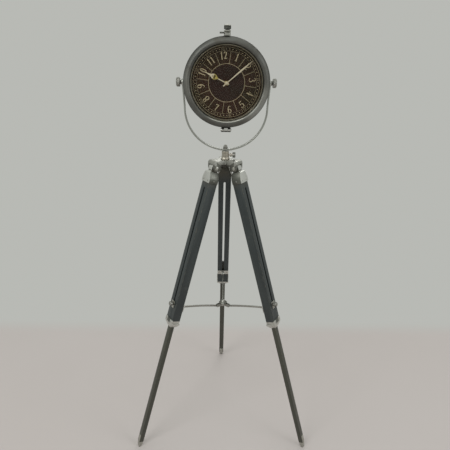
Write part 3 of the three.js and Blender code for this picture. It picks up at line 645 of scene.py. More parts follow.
def build_head():
    disc = b_turned("z", rounded([(0, 1130), (23, 1130, 0.6), (24, 1131.2, 0.6), (24, 1145, 1.3), (0, 1145)], 0.6, 4), 96)
    adds, cuts = [], []
    for a in LEGS.values():
        fork = b_bool(b_prism("x", fork_outline(), -21.5, 21.5), ("-", b_box(-13.2, 13.2, 5, 70, 1100, 1133.6)))
        bmesh.ops.dissolve_limit(fork, angle_limit=0.6 * D, verts=fork.verts, edges=fork.edges)
        adds.append(("+", b_move(b_bevel(fork, 1.1, 3, 40), Matrix.Rotation(-a * D, 4, "Z"))))
        cuts.append(("-", b_move(b_rod("x", 4.3, -30, 30, PIVOT_R, PIVOT_Z, 32), Matrix.Rotation(-a * D, 4, "Z"))))
    cuts.append(("-", b_rod("z", 8.4, 1125, 1150, 0, 0, 48)))
    head = b_bool(disc, *adds, *cuts)
    o = piece("head_casting", head, [CASTING, CASTING_SHADE_SIDE], "head", T_TRIPOD, ["tripod_head"], 38)
    # side faces below the disc take the darker copy of the metal: painted shade
    for p in o.data.polygons:
        if abs(p.normal.z) < 0.5 and p.center.z < 1.1335:
            p.material_index = 1
    # clamping screws under the disc hold the post
    for k in range(3):
        t = (60 + 120 * k) * D
        cap = b_turned("z", rounded([(0, 1126.2), (3.2, 1126.2), (3.6, 1127.4), (3.6, 1130.2), (0, 1130.2)], 0.5, 3), 32)
        socket = b_rod("z", 1.7, 1125, 1128.2, 0, 0, 6)
        cap = b_bool(cap, ("-", socket))
        piece(f"head_screw_{k + 1}", cap, KNOB, "head", T_TRIPOD @ Matrix.Translation((16.5 * math.cos(t), 16.5 * math.sin(t), 0)))


def build_post():
    profile = rounded([
        (0, 1131), (8, 1131), (8, 1145.4), (15.4, 1145.4, 0.3), (15.4, 1147.4, 0.8), (13.8, 1149.4, 1.4), (12.8, 1152, 2),
        (12.5, 1155, 0), (12.0, 1155.5, 0), (12.0, 1156.3, 0), (12.5, 1156.8, 0),
        (12.5, 1166.4, 0), (12.0, 1166.9, 0), (12.0, 1167.7, 0), (12.5, 1168.2, 0), (12.5, 1171.8, 0.8), (11.3, 1173.5, 0.8), (6.6, 1173.5, 0.3), (6.6, 1136.5), (0, 1136.5),
    ], 0.5, 4)
    post = b_turned("z", profile, 96)
    post = b_bool(post, ("-", b_rod("x", 3.4, 5, 18, 0, 1160, 32)))
    piece("socket_post_turned", post, POST, "head", T_TRIPOD, ["socket_post"], 30)


def knurl_knob(axis, rows, n, cuts, depth):
    """Turned knob whose rows marked 1 carry a straight-cut knurl."""
    def wave(i, t, q):
        k = rows[i][2]
        return -depth * k * (0.5 - 0.5 * math.cos(t * cuts)) ** 0.7
    return b_turned(axis, [(r, h) for r, h, _ in rows], n, wave)


def diamond_knob(axis, r, a, b, n, lead, depth, rim=1.2, dish=None, bore=None):
    """Rod with a diamond knurl between chamfered rims; dish is extra profile after b, towards the axis;
    bore is the (radius, depth) of a blind hole from a."""
    rows = [(0.0, bore[1]), (bore[0], bore[1]), (bore[0], a)] if bore else [(0.0, a)]
    rows += [(r - rim - 1.5, a), (r - rim * 0.9, a + 0.15), (r - rim * 0.25, a + rim * 0.7)]
    fine = max(6, int((b - a - 2 * rim) / 0.62))
    start = len(rows)
    for i in range(fine + 1):
        rows.append((r, a + rim + (b - a - 2 * rim) * i / fine))
    stop = len(rows)
    rows += [(r - rim * 0.25, b - rim * 0.7), (r - rim * 0.9, b - 0.15)]
    rows += dish or [(r - rim - 1.5, b), (0.0, b)]

    def wave(i, t, q):
        if not start <= i < stop:
            return 0.0
        h = rows[i][1] - a
        s = abs(math.sin(lead * t / 2 + h * lead / (2 * r))) * abs(math.sin(lead * t / 2 - h * lead / (2 * r)))
        edge = min(1.0, (i - start + 0.6) / 1.5, (stop - 1 - i + 0.6) / 1.5)
        return -depth * (1 - s) * edge
    return b_turned(axis, rows, n, wave)


def build_clamp_knob():
    knob = diamond_knob("x", 9.7, 25.5, 35.0, 144, 36, 0.45, 1.0, [(7.2, 35.4), (6.2, 34.9), (0.0, 34.9)])
    neck = b_turned("x", rounded([(0, 15.9), (4.6, 15.9), (6.0, 17.4), (6.0, 20.5), (4.9, 22.5), (5.4, 25.7), (0, 25.7)], 0.6, 3), 48)
    stud = b_turned("x", [(0, 6.9), (2.5, 6.9), (3.0, 7.6), (3.0, 16.2), (0, 16.2)], 32)
    o = piece("clamp_thumbscrew", b_join(knob, neck, stud), [KNOB, NECK], "clamp", T_TRIPOD @ Matrix.Translation((0, 0, 1160)), ["mast_clamp_knob"])
    for p in o.data.polygons:
        if p.center.x < 0.0254:
            p.material_index = 1


def build_bolts():
    for tag, a in LEGS.items():
        parts = [b_rod("x", 3.9, -24, 24, 0, 0, 32)]
        for s in (-1, 1):
            h0, h1 = (-24.9, -21.9) if s < 0 else (21.9, 24.9)
            hexagon = b_bevel(b_prism("x", circle_outline(5.7, 6), h0, h1), 0.4, 2, 20)
            parts.append(hexagon)
            parts.append(b_rod("x", 6.4, h0 + 0.02 if s > 0 else h1 - 0.62, h0 + 0.62 if s > 0 else h1 - 0.02, 0, 0, 48, edge=0.2))
        parts.append(b_turned("x", [(0, 24.5), (3.6, 24.5), (3.6, 25.3), (3.1, 25.9), (0, 25.9)], 32))
        m = around(a) @ Matrix.Translation((0, PIVOT_R, PIVOT_Z))
        piece(f"hinge_bolt_{tag}", b_join(*parts), SATIN, "head", m, [f"leg_bolt_{tag}"], 25)


# ------------------------------------------------------------------ legs
def build_leg(tag, azimuth):
    m = leg_frame(azimuth)
    body = f"leg_{tag}"
    half = [(12.6, 0.0), (12.6, -12.5), (23.5, -38.0), (23.5, -LEG_L)]
    outline = half + [(-x, z) for x, z in reversed(half)]
    grow, wall = 0.4, 2.2

    def shoulder(at, s):
        """Everything above the shoulder on one side, for a skin that lies at a distance from the wood."""
        return b_prism("x", [(s * (TONGUE_T / 2 + at), 40), (s * (TONGUE_T / 2 + at), -13 + at / 2), (s * (LEG_T / 2 + at), -19 + at / 2), (s * 40, -19 + at / 2), (s * 40, 40)], -40, 40)
    slats = b_bool(
        b_prism("y", outline, -LEG_T / 2, LEG_T / 2),
        ("-", shoulder(0, 1)),
        ("-", shoulder(0, -1)),
        ("+", b_rod("x", TONGUE_T / 2, -12.6, 12.6, 0, 0, 48)),
        ("-", b_rod("x", 4.3, -30, 30, 0, 0, 32)),
        ("-", b_box(-4, 4, -20, 20, -541, -77)),
        ("-", b_rod("y", 4, -20, 20, 0, -77, 32)),
        ("-", b_box(-10.9, 10.9, -8.35, 8.35, -LEG_L - 1, -79)),
    )
    bmesh.ops.dissolve_limit(slats, angle_limit=0.6 * D, verts=slats.verts, edges=slats.edges)
    slats = b_bevel(slats, 0.9, 3, 38)
    piece(f"leg_slats_{tag}", slats, WOOD, body, m, [f"upper_leg_{tag}"], 35)
    # folded metal cap: outer plate, two cheeks and a strap bent over the tongue
    def ring(d):
        return [(13.5 + d, -14.5), (23.5 + d, -38.0), (23.5 + d, -54.0)]
    o, i = ring(grow + wall), ring(grow)
    outer = o + [(-x, z) for x, z in reversed(o)]
    i2 = [(i[0][0] - 1.9, -10.0), i[0], i[1], (i[2][0], -60.0)]
    inner = i2 + [(-x, z) for x, z in reversed(i2)]
    hollow = b_bool(b_prism("y", inner, -LEG_T / 2 - 1, LEG_T / 2 + grow), ("-", shoulder(grow, 1)))
    r0, r1 = TONGUE_T / 2 + grow, TONGUE_T / 2 + grow + wall
    band = [(r0, -12.7), (r1, -14.9)]
    band += [(r1 * math.cos(t * D), r1 * math.sin(t * D)) for t in range(0, 76, 5)]
    band += [(r0 * math.cos(t * D), r0 * math.sin(t * D)) for t in range(75, -1, -5)]
    cap = b_bool(
        b_prism("y", outer, -LEG_T / 2, LEG_T / 2 + grow + wall),
        ("-", shoulder(grow + wall, 1)),
        ("-", shoulder(0, -1)),
        ("-", hollow),
        ("+", b_prism("x", band, -12.2, 12.2)),
        ("-", b_box(-13, 13, 10, 20, -11.6, -9.0)),
    )
    bmesh.ops.dissolve_limit(cap, angle_limit=0.6 * D, verts=cap.verts, edges=cap.edges)
    cap = b_bevel(cap, 0.6, 3, 30)
    o = piece(f"cap_plate_{tag}", cap, [CAP, CAP_SIDE], body, m, [f"leg_cap_{tag}"], 40)
    # faces that turn across the leg take the darker copy of the nickel: painted shade on the cheeks
    across = m.to_3x3().col[0].normalized()
    for p in o.data.polygons:
        if abs(p.normal.dot(across)) > 0.6:
            p.material_index = 1
    # rivets through the cheeks and the outer plate
    rivets = []
    for s in (-1, 1):
        rivets.append(b_turned("x", [(0, 0), (2.6, 0), (2.4, 0.5), (1.6, 0.95), (0, 1.1)], 24))
        b_move(rivets[-1], Matrix.Translation((s * 26.0, 0, -46)) @ (Matrix.Rotation(math.pi, 4, "Z") if s < 0 else Matrix.Identity(4)))
        rivets.append(b_turned("y", [(0, 0), (2.6, 0), (2.4, 0.5), (1.6, 0.95), (0, 1.1)], 24))
        b_move(rivets[-1], Matrix.Translation((s * 14.0, LEG_T / 2 + grow + wall - 0.1, -46)))
    piece(f"cap_rivets_{tag}", b_join(*rivets), KNOB, body, m)
    # ferrule round the end of the slats
    def rect(w, d, z, c=1.6, steps=3):
        pts = round_outline([(-w / 2, -d / 2), (w / 2, -d / 2), (w / 2, d / 2), (-w / 2, d / 2)], c, steps)
        return [(x, y, z) for x, y in pts]
    rings = [rect(50.8, 36.8, -601.1), rect(51.4, 37.4, -601.6), rect(51.4, 37.4, -605.0), rect(50.6, 36.8, -606.3),
             rect(30.6, 24.6, -618.4), rect(29.0, 23.6, -619.4), rect(27.8, 22.6, -620.0)]
    plate = b_prism("y", round_outline([(-25.7, -605), (25.7, -605), (25.7, -586), (-25.7, -586)], 2.4, 4), 14.0, 18.7)
    ferrule = b_bool(
        b_loft(rings),
        ("+", b_bevel(plate, 0.7, 3, 40)),
        ("-", b_box(-23.9, 23.9, -16.9, 16.9, -603.4, -580)),
        ("-", b_box(-10.9, 10.9, -8.4, 8.4, -630, -580)),
    )
    nails = []
    for side in (-1, 1):
        nail = b_turned("y", [(0, 0), (2.3, 0), (2.1, 0.4), (1.4, 0.85), (0, 1.0)], 24)
        nails.append(b_move(nail, Matrix.Translation((side * 17.0, 18.65, -594.5))))
    piece(f"ferrule_{tag}", ferrule, FERRULE, body, m, [f"bottom_collar_{tag}"], 35)
    piece(f"ferrule_nails_{tag}", b_join(*nails), KNOB, body, m)
    # band and clevis on the inner face
    back = -LEG_T / 2 - 0.4
    strap = b_bevel(b_box(-23.5, 23.5, back - 2.8, back, -551, -531), 0.8, 3, 30)
    ear = round_outline([(back - 1, -532), (-28, -534.2), (-33, -538.5), (-33, -543.5), (-28, -547.8), (back - 1, -550)], 2.2, 4)
    ears = [b_bevel(b_prism("x", ear, 2.1, 4.5), 0.5, 2, 40), b_bevel(b_prism("x", ear, -4.5, -2.1), 0.5, 2, 40)]
    pin = b_rod("x", 3, -5.7, 5.7, -27, -541, 32, edge=0.5)
    screws = []
    for s in (-1, 1):
        head = b_turned("y", [(0, 0), (4.0, 0), (3.8, -0.6), (2.6, -1.3), (0, -1.6)], 32)
        slot_cut = b_box(-4.5, 4.5, -3, -0.9, -0.45, 0.45)
        head = b_bool(head, ("-", slot_cut))
        screws.append(b_move(head, Matrix.Translation((s * 17.5, back - 2.75, -541.5))))
    piece(f"strap_{tag}", b_join(b_bool(strap, ("+", ears[0]), ("+", ears[1]), ("+", pin)), *screws), FERRULE, body, m, [f"spreader_bracket_{tag}"], 35)
    # plate for the lock screw
    front = LEG_T / 2 + 0.4
    plate = b_prism("y", round_outline([(-11, -14), (11, -14), (11, 12), (-11, 12)], 2.6, 5), front, front + 2.6)
    plate = b_bevel(b_bool(plate, ("-", b_rod("y", 3.4, 10, 26, 0, 0, 32))), 0.5, 2, 40)
    heads = []
    for sx, sz in ((-1, -1), (1, -1), (-1, 1), (1, 1)):
        h = b_turned("y", [(0, 0), (1.7, 0), (1.6, 0.35), (1.0, 0.7), (0, 0.8)], 20)
        heads.append(b_move(h, Matrix.Translation((sx * 7.9, front + 2.58, -11.2 if sz < 0 else 9.2))))
    piece(f"lock_seat_{tag}", b_join(plate, *heads), SATIN, body, m @ Matrix.Translation((0, 0, -527)), [f"lock_plate_{tag}"], 40)
    # lock knob
    f2 = LEG_T / 2 + 3
    knob = diamond_knob("y", 8.8, f2 + 3, f2 + 12.4, 140, 34, 0.4, 1.0, [(6.6, f2 + 13.1), (5.4, f2 + 13.3), (3.0, f2 + 13.4), (0.0, f2 + 13.4)])
    neck = b_turned("y", rounded([(0, f2 + 0.4), (5.0, f2 + 0.4), (5.5, f2 + 1.2), (4.8, f2 + 3.2), (0, f2 + 3.2)], 0.4, 3), 48)
    stud = b_rod("y", 3, 8.4, f2 + 1, 0, 0, 32)
    piece(f"lock_screw_{tag}", b_join(knob, neck, stud), LOCK, f"lock_{tag}", m @ Matrix.Translation((0, 0, -527)), [f"lock_knob_{tag}"])
    # sliding bar
    bar = b_bool(b_box(-10.5, 10.5, -8, 8, -1146, -497), ("-", b_rod("z", 4.3, -1147, -1124, 0, 0, 32)))
    bar = b_bevel(bar, 0.9, 3, 38)
    piece(f"bar_{tag}", bar, BAR, f"lower_{tag}", m, [f"lower_leg_{tag}"], 35)
    # foot: shoe with a flat sole and a tang up the outer face
    def sole(y):
        return -(PIVOT_Z + y * math.sin(BETA)) / math.cos(BETA)
    shoe = b_prism("x", [(-7.6, -1146.4), (7.6, -1146.4), (7.6, -1153), (4.0, sole(4.0)), (-4.0, sole(-4.0)), (-7.6, -1153)], -8.5, 8.5)
    shoe = b_bevel(shoe, 0.7, 3, 25)
    spike = b_rod("z", 3.9, -1147, -1125, 0, 0, 32)
    tang_out = b_bevel(b_prism("x", [(8.15, -1118), (9.4, -1119), (9.4, -1148.5), (7.7, -1151), (7.3, -1148.5)], -7.2, 7.2), 0.35, 2, 30)
    tang_in = b_bevel(b_prism("x", [(-8.15, -1118), (-9.4, -1119), (-9.4, -1148.5), (-7.7, -1151), (-7.3, -1148.5)], -7.2, 7.2), 0.35, 2, 30)
    rivet = b_turned("y", [(0, 0), (2.2, 0), (2.0, 0.4), (1.2, 0.8), (0, 0.9)], 24)
    b_move(rivet, Matrix.Translation((0, 9.35, -1126)))
    piece(f"shoe_{tag}", b_join(shoe, spike, tang_out, tang_in, rivet), SATIN, f"lower_{tag}", m, [f"foot_tip_{tag}"], 35)


# ------------------------------------------------------------------ spreader
PIN_R = PIVOT_R - 27 * math.cos(BETA) + 541 * math.sin(BETA)
PIN_Z = PIVOT_Z - 541 * math.cos(BETA) - 27 * math.sin(BETA)
HUB_Z = PIN_Z - 42
ARM_L = math.hypot(PIN_R - 26, 42)
ARM_DROOP = math.atan2(42, PIN_R - 26)


def build_arm(tag, azimuth):
    n, half, bow = 40, 3.7, 2.0
    rings = []
    for i in range(n + 1):
        s = -3 - (ARM_L - 6) * i / n
        u = -s / ARM_L
        b = bow * math.sin(math.pi * u)
        slope = -bow * math.pi / ARM_L * math.cos(math.pi * u)
        up = Vector((0, -slope, 1)).normalized()
        w = 1.65
        pts = round_outline([(-w, -half), (w, -half), (w, half), (-w, half)], 0.6, 3)
        rings.append([(x, s + up.y * z, b + up.z * z) for x, z in pts])
    arm = b_bool(
        b_loft(rings),
        ("+", b_rod("x", 5.4, -1.7, 1.7, 0, 0, 48, edge=0.4)),
        ("+", b_rod("x", 5.0, -1.7, 1.7, -ARM_L, 0, 48, edge=0.4)),
        ("-", b_rod("x", 3.35, -5, 5, 0, 0, 32)),
        ("-", b_rod("x", 2.4, -5, 5, -ARM_L, 0, 32)),
    )
    m = around(azimuth) @ Matrix.Translation((0, PIN_R, PIN_Z)) @ Matrix.Rotation(ARM_DROOP, 4, "X")
    piece(f"arm_strip_{tag}", arm, ARM, f"arm_{tag}", m, [f"spreader_arm_{tag}"], 35)


def build_hub():
    cap = b_turned("z", rounded([(0, -3), (11, -3, 0.6), (12.5, -1, 0.8), (15.5, 6, 0.6), (16.2, 7.2, 0.4), (16.2, 8.8, 0.7), (15.0, 10.0, 1.0), (8.2, 15.3, 3), (5.4, 18.6, 1.2), (3.0, 19.0, 0.6), (0, 19)], 0.6, 4), 96)
    adds = []
    for a in LEGS.values():
        for s in (-1, 1):
            x0, x1 = (-4.5, -2.1) if s < 0 else (2.1, 4.5)
            o = round_outline([(10, -4), (22, -5), (30, -4.2), (32, 0), (30, 5), (26, 7.4), (10, 8)], 1.6, 4)
            o = [(y, z) for y, z in o]
            cheek = b_bevel(b_prism("x", o, x0, x1), 0.45, 2, 40)
            adds.append(("+", b_move(cheek, Matrix.Rotation(-a * D, 4, "Z"))))
            rivet = b_rod("x", 3.0, -5.8 if s < 0 else 4.3, -4.3 if s < 0 else 5.8, 26, 0, 28, edge=0.4)
            adds.append(("+", b_move(rivet, Matrix.Rotation(-a * D, 4, "Z"))))
    hub = b_bool(cap, *adds)
    piece("hub_casting", hub, HUB, "hub", T_TRIPOD @ Matrix.Translation((0, 0, HUB_Z)), ["spreader_hub"], 35)


# ------------------------------------------------------------------ yoke
YOKE_R, YOKE_DROP, YOKE_TOP_X, YOKE_W, YOKE_T = 138.75, 82.25, 143.75, 14.0, 5.5
YOKE_LOW = -YOKE_DROP - YOKE_R


def build_yoke():
    line = [(YOKE_TOP_X, 9.0), (YOKE_TOP_X, 0.0), (YOKE_TOP_X - 0.4, -14), (YOKE_TOP_X - 1.6, -28), (YOKE_TOP_X - 2.7, -44), (YOKE_TOP_X - 3.7, -58), (YOKE_TOP_X - 4.7, -72)]
    n = 64
    for i in range(n + 1):
        t = math.pi * i / n
        x, z = YOKE_R * math.cos(t), -YOKE_DROP - YOKE_R * math.sin(t)
        flat = max(0.0, min(1.0, (24.0 - abs(x)) / 8.0))
        z = z * (1 - flat) + YOKE_LOW * flat
        line.append((x, z))
    line += [(-x, z) for x, z in reversed(line[:7])]
    section = round_outline([(-YOKE_T / 2, -YOKE_W / 2), (YOKE_T / 2, -YOKE_W / 2), (YOKE_T / 2, YOKE_W / 2), (-YOKE_T / 2, YOKE_W / 2)], 1.3, 4)
    rings = []
    for i, (x, z) in enumerate(line):
        a, b = Vector(line[max(0, i - 1)]), Vector(line[min(len(line) - 1, i + 1)])
        d = (b - a).normalized()
        nrm = Vector((-d.y, d.x))
        rings.append([(x + nrm.x * u, w, z + nrm.y * u) for u, w in section])
    strip = b_loft(rings)
    steps = []
    for s in (-1, 1):
        x0, x1 = s * YOKE_TOP_X - YOKE_T / 2, s * YOKE_TOP_X + YOKE_T / 2
        steps.append(("+", b_rod("x", 11, x0, x1, 0, 0, 64, edge=0.9)))
    for s in (-1, 1):
        x0, x1 = s * YOKE_TOP_X - YOKE_T / 2, s * YOKE_TOP_X + YOKE_T / 2
        steps.append(("-", b_rod("x", 4.4, x0 - 2, x1 + 2, 0, 0, 40)))
    steps.append(("-", b_rod("z", 4.4, YOKE_LOW - 5, YOKE_LOW + 5, 0, 0, 40)))
    piece("yoke_strip", b_bool(strip, *steps), YOKE_PLATE, "yoke", T_CLOCK, ["yoke"], 35)
    low, high = YOKE_LOW - YOKE_T / 2, YOKE_LOW + YOKE_T / 2
    spigot = b_turned("z", rounded([
        (0, 1138 - 1400), (5.0, 1138 - 1400), (6, 1139.4 - 1400), (6, 1173.9 - 1400, 0.2), (12, 1173.9 - 1400), (12, low - 0.3), (4, low - 0.3, 0.2), (4, high + 6), (0, high + 6),
    ], 0.6, 3), 64)
    piece("yoke_stem", spigot, CHROME, "yoke", T_CLOCK, ["yoke_spigot"], 30)
    hexa = b_bevel(b_prism("z", circle_outline(8, 6), high + 0.4, high + 7), 0.5, 3, 20)
    dome = b_turned("z", [(0, high + 6.6), (6.5, high + 6.6), (6.5, high + 7.2), (6.35, high + 9.2), (5.8, high + 10.8), (4.7, high + 12.3), (3.0, high + 13.4), (1.4, high + 13.9), (0, high + 14)], 48)
    nut = b_bool(b_join(hexa), ("+", dome), ("-", b_rod("z", 4.3, high - 1, high + 6.4, 0, 0, 32)))
    piece("dome_nut", nut, KNOB, "yoke", T_CLOCK, ["yoke_nut"], 28)


def build_tilt_knobs():
    for tag, s in (("left", -1), ("right", 1)):
        knob = diamond_knob("x", 15, 152.3, 163.4, 216, 52, 0.6, 1.3, [(12.6, 164.6), (10.6, 165.3), (8.8, 164.9), (7.8, 163.9), (3.0, 163.9), (0.0, 164.0)], bore=(4.3, 158.0))
        neck = b_turned("x", rounded([(4.3, 146.9), (7.4, 146.9), (8.2, 147.6), (8.2, 148.8), (6.8, 150.4), (9.2, 152.6), (4.3, 152.6), (4.3, 146.9)], 0.5, 3), 64)
        turn = Matrix.Identity(4) if s > 0 else Matrix.Rotation(math.pi, 4, "Z")
        piece(f"tilt_handle_{tag}", b_join(knob, neck), KNOB, f"tilt_{tag}", T_CLOCK @ turn, [f"tilt_knob_{tag}"])


# ------------------------------------------------------------------ drum
def build_drum():
    profile = rounded([
        (131, -30, 0.6), (131, -24, 0), (131.0, 36, 0), (130.4, 36.6, 0), (130.4, 38.4, 0), (131, 39, 0), (131, 43, 6), (126.4, 53.4, 7), (117, 58, 3), (60, 58, 0), (59.4, 57.3, 0), (57.6, 57.3, 0), (57, 58, 0), (47, 58, 0.4),
        (47, 55.8, 0.4), (117, 55.8, 3), (124.8, 51.4, 5), (128.8, 42, 5), (128.8, -18.6, 0.3), (118, -18.6, 0.5), (118, -22, 0.5), (128.8, -22, 0.3), (128.8, -30, 0.6), (131, -30, 0.6),
    ], 0.5, 5)
    drum = b_turned("y", profile, 192)
    steps = []
    for s in (-1, 1):
        a, b = (127, 140.4) if s > 0 else (-140.4, -127)
        steps.append(("+", b_rod("x", 10, a, b, 0, 0, 64, edge=0.6)))
        a, b = (139, 156) if s > 0 else (-156, -139)
        steps.append(("+", b_rod("x", 4, a, b, 0, 0, 48, edge=0.5)))
    drum = b_bool(drum, *steps)
    piece("drum_shell", drum, DRUM, "drum", T_CLOCK, ["drum_case"], 30)
    # collars round the side bosses and a ring of screws on the back
    for s, tag in ((-1, "left"), (1, "right")):
        ring = b_turned("x", rounded([(10.05, 129.9), (14.5, 129.9, 0.8), (14.0, 131.8, 0.8), (10.9, 133.6, 0.6), (10.05, 133.6), (10.05, 129.9)], 0.4, 3), 72)
        turn = Matrix.Identity(4) if s > 0 else Matrix.Rotation(math.pi, 4, "Z")
        piece(f"boss_collar_{tag}", ring, KNOB, "drum", T_CLOCK @ turn)
    for k in range(6):
        t = (30 + 60 * k) * D
        screw = b_turned("y", [(0, 57.9), (3.6, 57.9), (3.5, 58.5), (2.7, 59.6), (1.4, 60.1), (0, 60.2)], 32)
        screw = b_bool(screw, ("-", b_box(-4, 4, 59.3, 62, -0.45, 0.45)), ("-", b_box(-0.45, 0.45, 59.3, 62, -4, 4)))
        piece(f"back_screw_{k + 1}", screw, KNOB, "drum", T_CLOCK @ Matrix.Translation((104 * math.cos(t), 0, 104 * math.sin(t))) @ Matrix.Rotation(0.4 * k, 4, "Y"))
    cover = b_turned("y", rounded([
        (0, 61.2), (30, 61.2, 2), (33, 60.6, 2), (36, 61.2, 2), (48.4, 61.8, 1.6), (53.2, 60.6, 1.4), (54, 58.4, 0.3), (46.4, 58.4, 0.3), (46.4, 49, 0.5), (44.4, 49, 0.5),
        (44.4, 59.2, 0.3), (0, 59.2),
    ], 0.5, 4), 144)
    knob_rows = [(0, 60.9, 0), (9.2, 60.9, 0), (8.6, 62.4, 0), (9.4, 63.6, 0.3), (10.6, 64.4, 1), (11, 65.2, 1), (11, 68.2, 1), (10.5, 68.9, 0.6), (9.6, 69.2, 0), (7.4, 69.4, 0), (6.6, 68.9, 0), (0, 68.9, 0)]
    knob = knurl_knob("y", knob_rows, 160, 40, 0.4)
    piece("back_cover", b_join(cover, knob), DRUM, "drum", T_CLOCK, ["rear_cover"], 30)


def build_bezel():
    profile = rounded([
        (127.4, -30.5, 0.3), (138.2, -30.8, 0.8), (140, -34.0, 1.6), (140, -39.4, 3), (138.6, -44.4, 4), (135.2, -49.8, 6), (130.6, -53.6, 5), (126.0, -54.9, 3), (122.2, -54.3, 2.5),
        (119.7, -52.3, 1.6), (118.0, -48.6, 0.8), (117.3, -46.9, 0.5), (116.4, -47.0, 0.4), (115.6, -47.7, 0.5), (114.3, -47.8, 0.6), (112.2, -44.9, 0.8), (111.5, -43.6, 0.5), (111.5, -42.2, 0.3),
        (118.6, -42.2, 0.2), (118.6, -38.2, 0.2), (115, -38.2, 0.2), (115, -35.6, 0.4), (126.4, -35.2, 0.4), (127.4, -30.5, 0.3),
    ], 0.5, 5)
    ring = b_turned("y", profile, 256)
    o = piece("bezel_door", ring, [GUNMETAL, GROOVE_SHADE, RIM], "door", T_CLOCK, ["bezel_ring"], 24)
    # faces in the groove behind the opening take the darker nickel as painted shade; the inner rim keeps its own nickel
    for p in o.data.polygons:
        c = p.center
        r = math.hypot(c.x, c.z - CLOCK_Z / 1000)
        if r < 0.1182 and c.y * 1000 - AY < -43:
            p.material_index = 2 if r < 0.1158 else 1
    pane = b_turned("y", rounded([(0, -41.8), (117.6, -41.8, 0.4), (118.1, -41.3, 0.3), (118.1, -39.1, 0.3), (117.6, -38.6, 0.4), (0, -38.6)], 0.2, 2), 192)
    piece("glass_pane", pane, GLASS, "door", T_CLOCK, ["glass_lens"], 20)


def shade_barrel(o):
    """Painted shade: the upper and lower sides of the barrel take a darker nickel than its front."""
    for p in o.data.polygons:
        if (p.normal.z < -0.25 or p.normal.z > 0.75) and p.center.z < (CLOCK_Z - 141) / 1000:
            p.material_index = 1


def build_hinge():
    hy, hz = -31.0, -149.0
    def knuckle(x0, x1):
        return b_rod("x", 7, x0, x1, hy, hz, 64, edge=0.45)
    bore = b_rod("x", 2.9, -30, 30, hy, hz, 40)
    leaf = b_bool(
        b_bevel(b_box(-16, 16, -22, -4, hz - 3, hz + 3), 0.7, 3, 30),
        ("+", b_bevel(b_box(-16, 16, -22, -4, hz, -124), 0.7, 3, 30)),
        ("+", b_bevel(b_box(-16, -6.4, hy, -20, hz - 3, hz + 3), 0.5, 2, 30)),
        ("+", b_bevel(b_box(6.4, 16, hy, -20, hz - 3, hz + 3), 0.5, 2, 30)),
        ("+", knuckle(-16, -6.4)), ("+", knuckle(6.4, 16)),
        ("-", b_rod("y", 131.35, -60, 60, 0, 0, 256)),
        ("-", bore),
    )
    shade_barrel(piece("hinge_leaf_fixed", leaf, [CHROME, BARREL_SHADE], "drum", T_CLOCK, ["hinge_leaf_drum"], 32))
    door = b_bool(
        b_bevel(b_box(-6, 6, -47, -34, -150, -130), 0.8, 3, 30),
        ("+", b_bevel(b_box(-6, 6, -36, hy, hz - 1, hz + 6), 0.4, 2, 30)),
        ("+", knuckle(-6, 6)),
        ("-", b_rod("y", 140.35, -80, 20, 0, 0, 256)),
        ("-", b_rod("x", 2.9, -30, 30, hy, hz, 40)),
    )
    shade_barrel(piece("hinge_leaf_door", door, [CHROME, BARREL_SHADE], "door", T_CLOCK, ["hinge_leaf_bezel"], 32))
    pin = b_bool(
        b_rod("x", 2.5, -18, 18, hy, hz, 32),
        ("+", b_rod("x", 4.4, 16.4, 18.2, hy, hz, 40, edge=0.5)),
        ("+", b_rod("x", 4.4, -18.2, -16.4, hy, hz, 40, edge=0.5)),
    )
    piece("hinge_rod", pin, CHROME, "drum", T_CLOCK, ["hinge_pin"], 32)


def build_latch():
    lug = b_bool(
        b_bevel(b_box(-7.7, 7.7, -46.5, -35, 134, 149), 0.9, 3, 30),
        ("+", b_bevel(b_prism("z", round_outline([(-24, -43.6), (-7, -44.0), (-7, -38.2), (-24, -38.6)], 2.4, 4), 145.6, 150.5), 0.8, 2, 30)),
        ("-", b_rod("y", 140.35, -80, 20, 0, 0, 256)),
    )
    o = piece("latch_tongue", lug, [SATIN, CAP_SIDE], "door", T_CLOCK, ["latch_lug"], 32)
    for p in o.data.polygons:
        if p.center.x < -0.0082:
            p.material_index = 1
    arm = b_bool(
        b_bevel(b_box(-10.5, 10.5, -51, -12, 151.4, 156), 1.0, 3, 30),
        ("+", b_bevel(b_box(-10.5, 10.5, -17.4, -12, 131, 155.6), 0.9, 3, 30)),
        ("+", b_bevel(b_box(-10.5, 10.5, -17, 8, 124, 135.8), 0.9, 3, 30)),
        ("-", b_rod("y", 131.35, -60, 60, 0, 0, 256)),
        ("-", b_rod("z", 3.4, 140, 160, 0, -41, 32)),
    )
    piece("latch_arm", arm, SATIN, "drum", T_CLOCK, ["latch_bracket"], 32)
    t = T_CLOCK @ Matrix.Translation((0, -41, 0))
    grip = diamond_knob("z", 11, 158.0, 168.2, 176, 42, 0.6, 1.0, [(9.6, 168.6), (8.4, 168.4), (0.0, 168.4)])
    stem = b_turned("z", rounded([(0, 149.7), (2.5, 149.7), (3, 150.2), (3, 156.4), (6.6, 156.4), (7, 156.8), (7, 158.3), (0, 158.3)], 0.2, 2), 48)
    dome = b_turned("z", rounded([(0, 168.1), (10.3, 168.1, 0.3), (10.4, 169.7, 0.6), (9.5, 170.9, 0.8), (6.8, 171.4, 0.8), (0, 171.4)], 0.4, 4), 72)
    piece("latch_thumbscrew", b_join(grip, stem), KNURL_DARK, "latch", t, ["latch_screw"], 32)
    piece("latch_dome", dome, DOME, "latch", t)


KNURL_DARK = polished("knurled_dark_nickel", srgb(92, 94, 89), srgb(74, 76, 71), 0.38, 0.12, 0.6)

# ------------------------------------------------------------------ dial and its print
DIAL_Y = -25.4
PRINT_TURN = 7.5 * D      # the print sits turned, seen from the front


def on_dial(r, degrees):
    """Point of the dial plane at a radius and clock angle (0 at twelve, clockwise from the front)."""
    t = degrees * D - PRINT_TURN
    return (r * math.sin(t), r * math.cos(t))


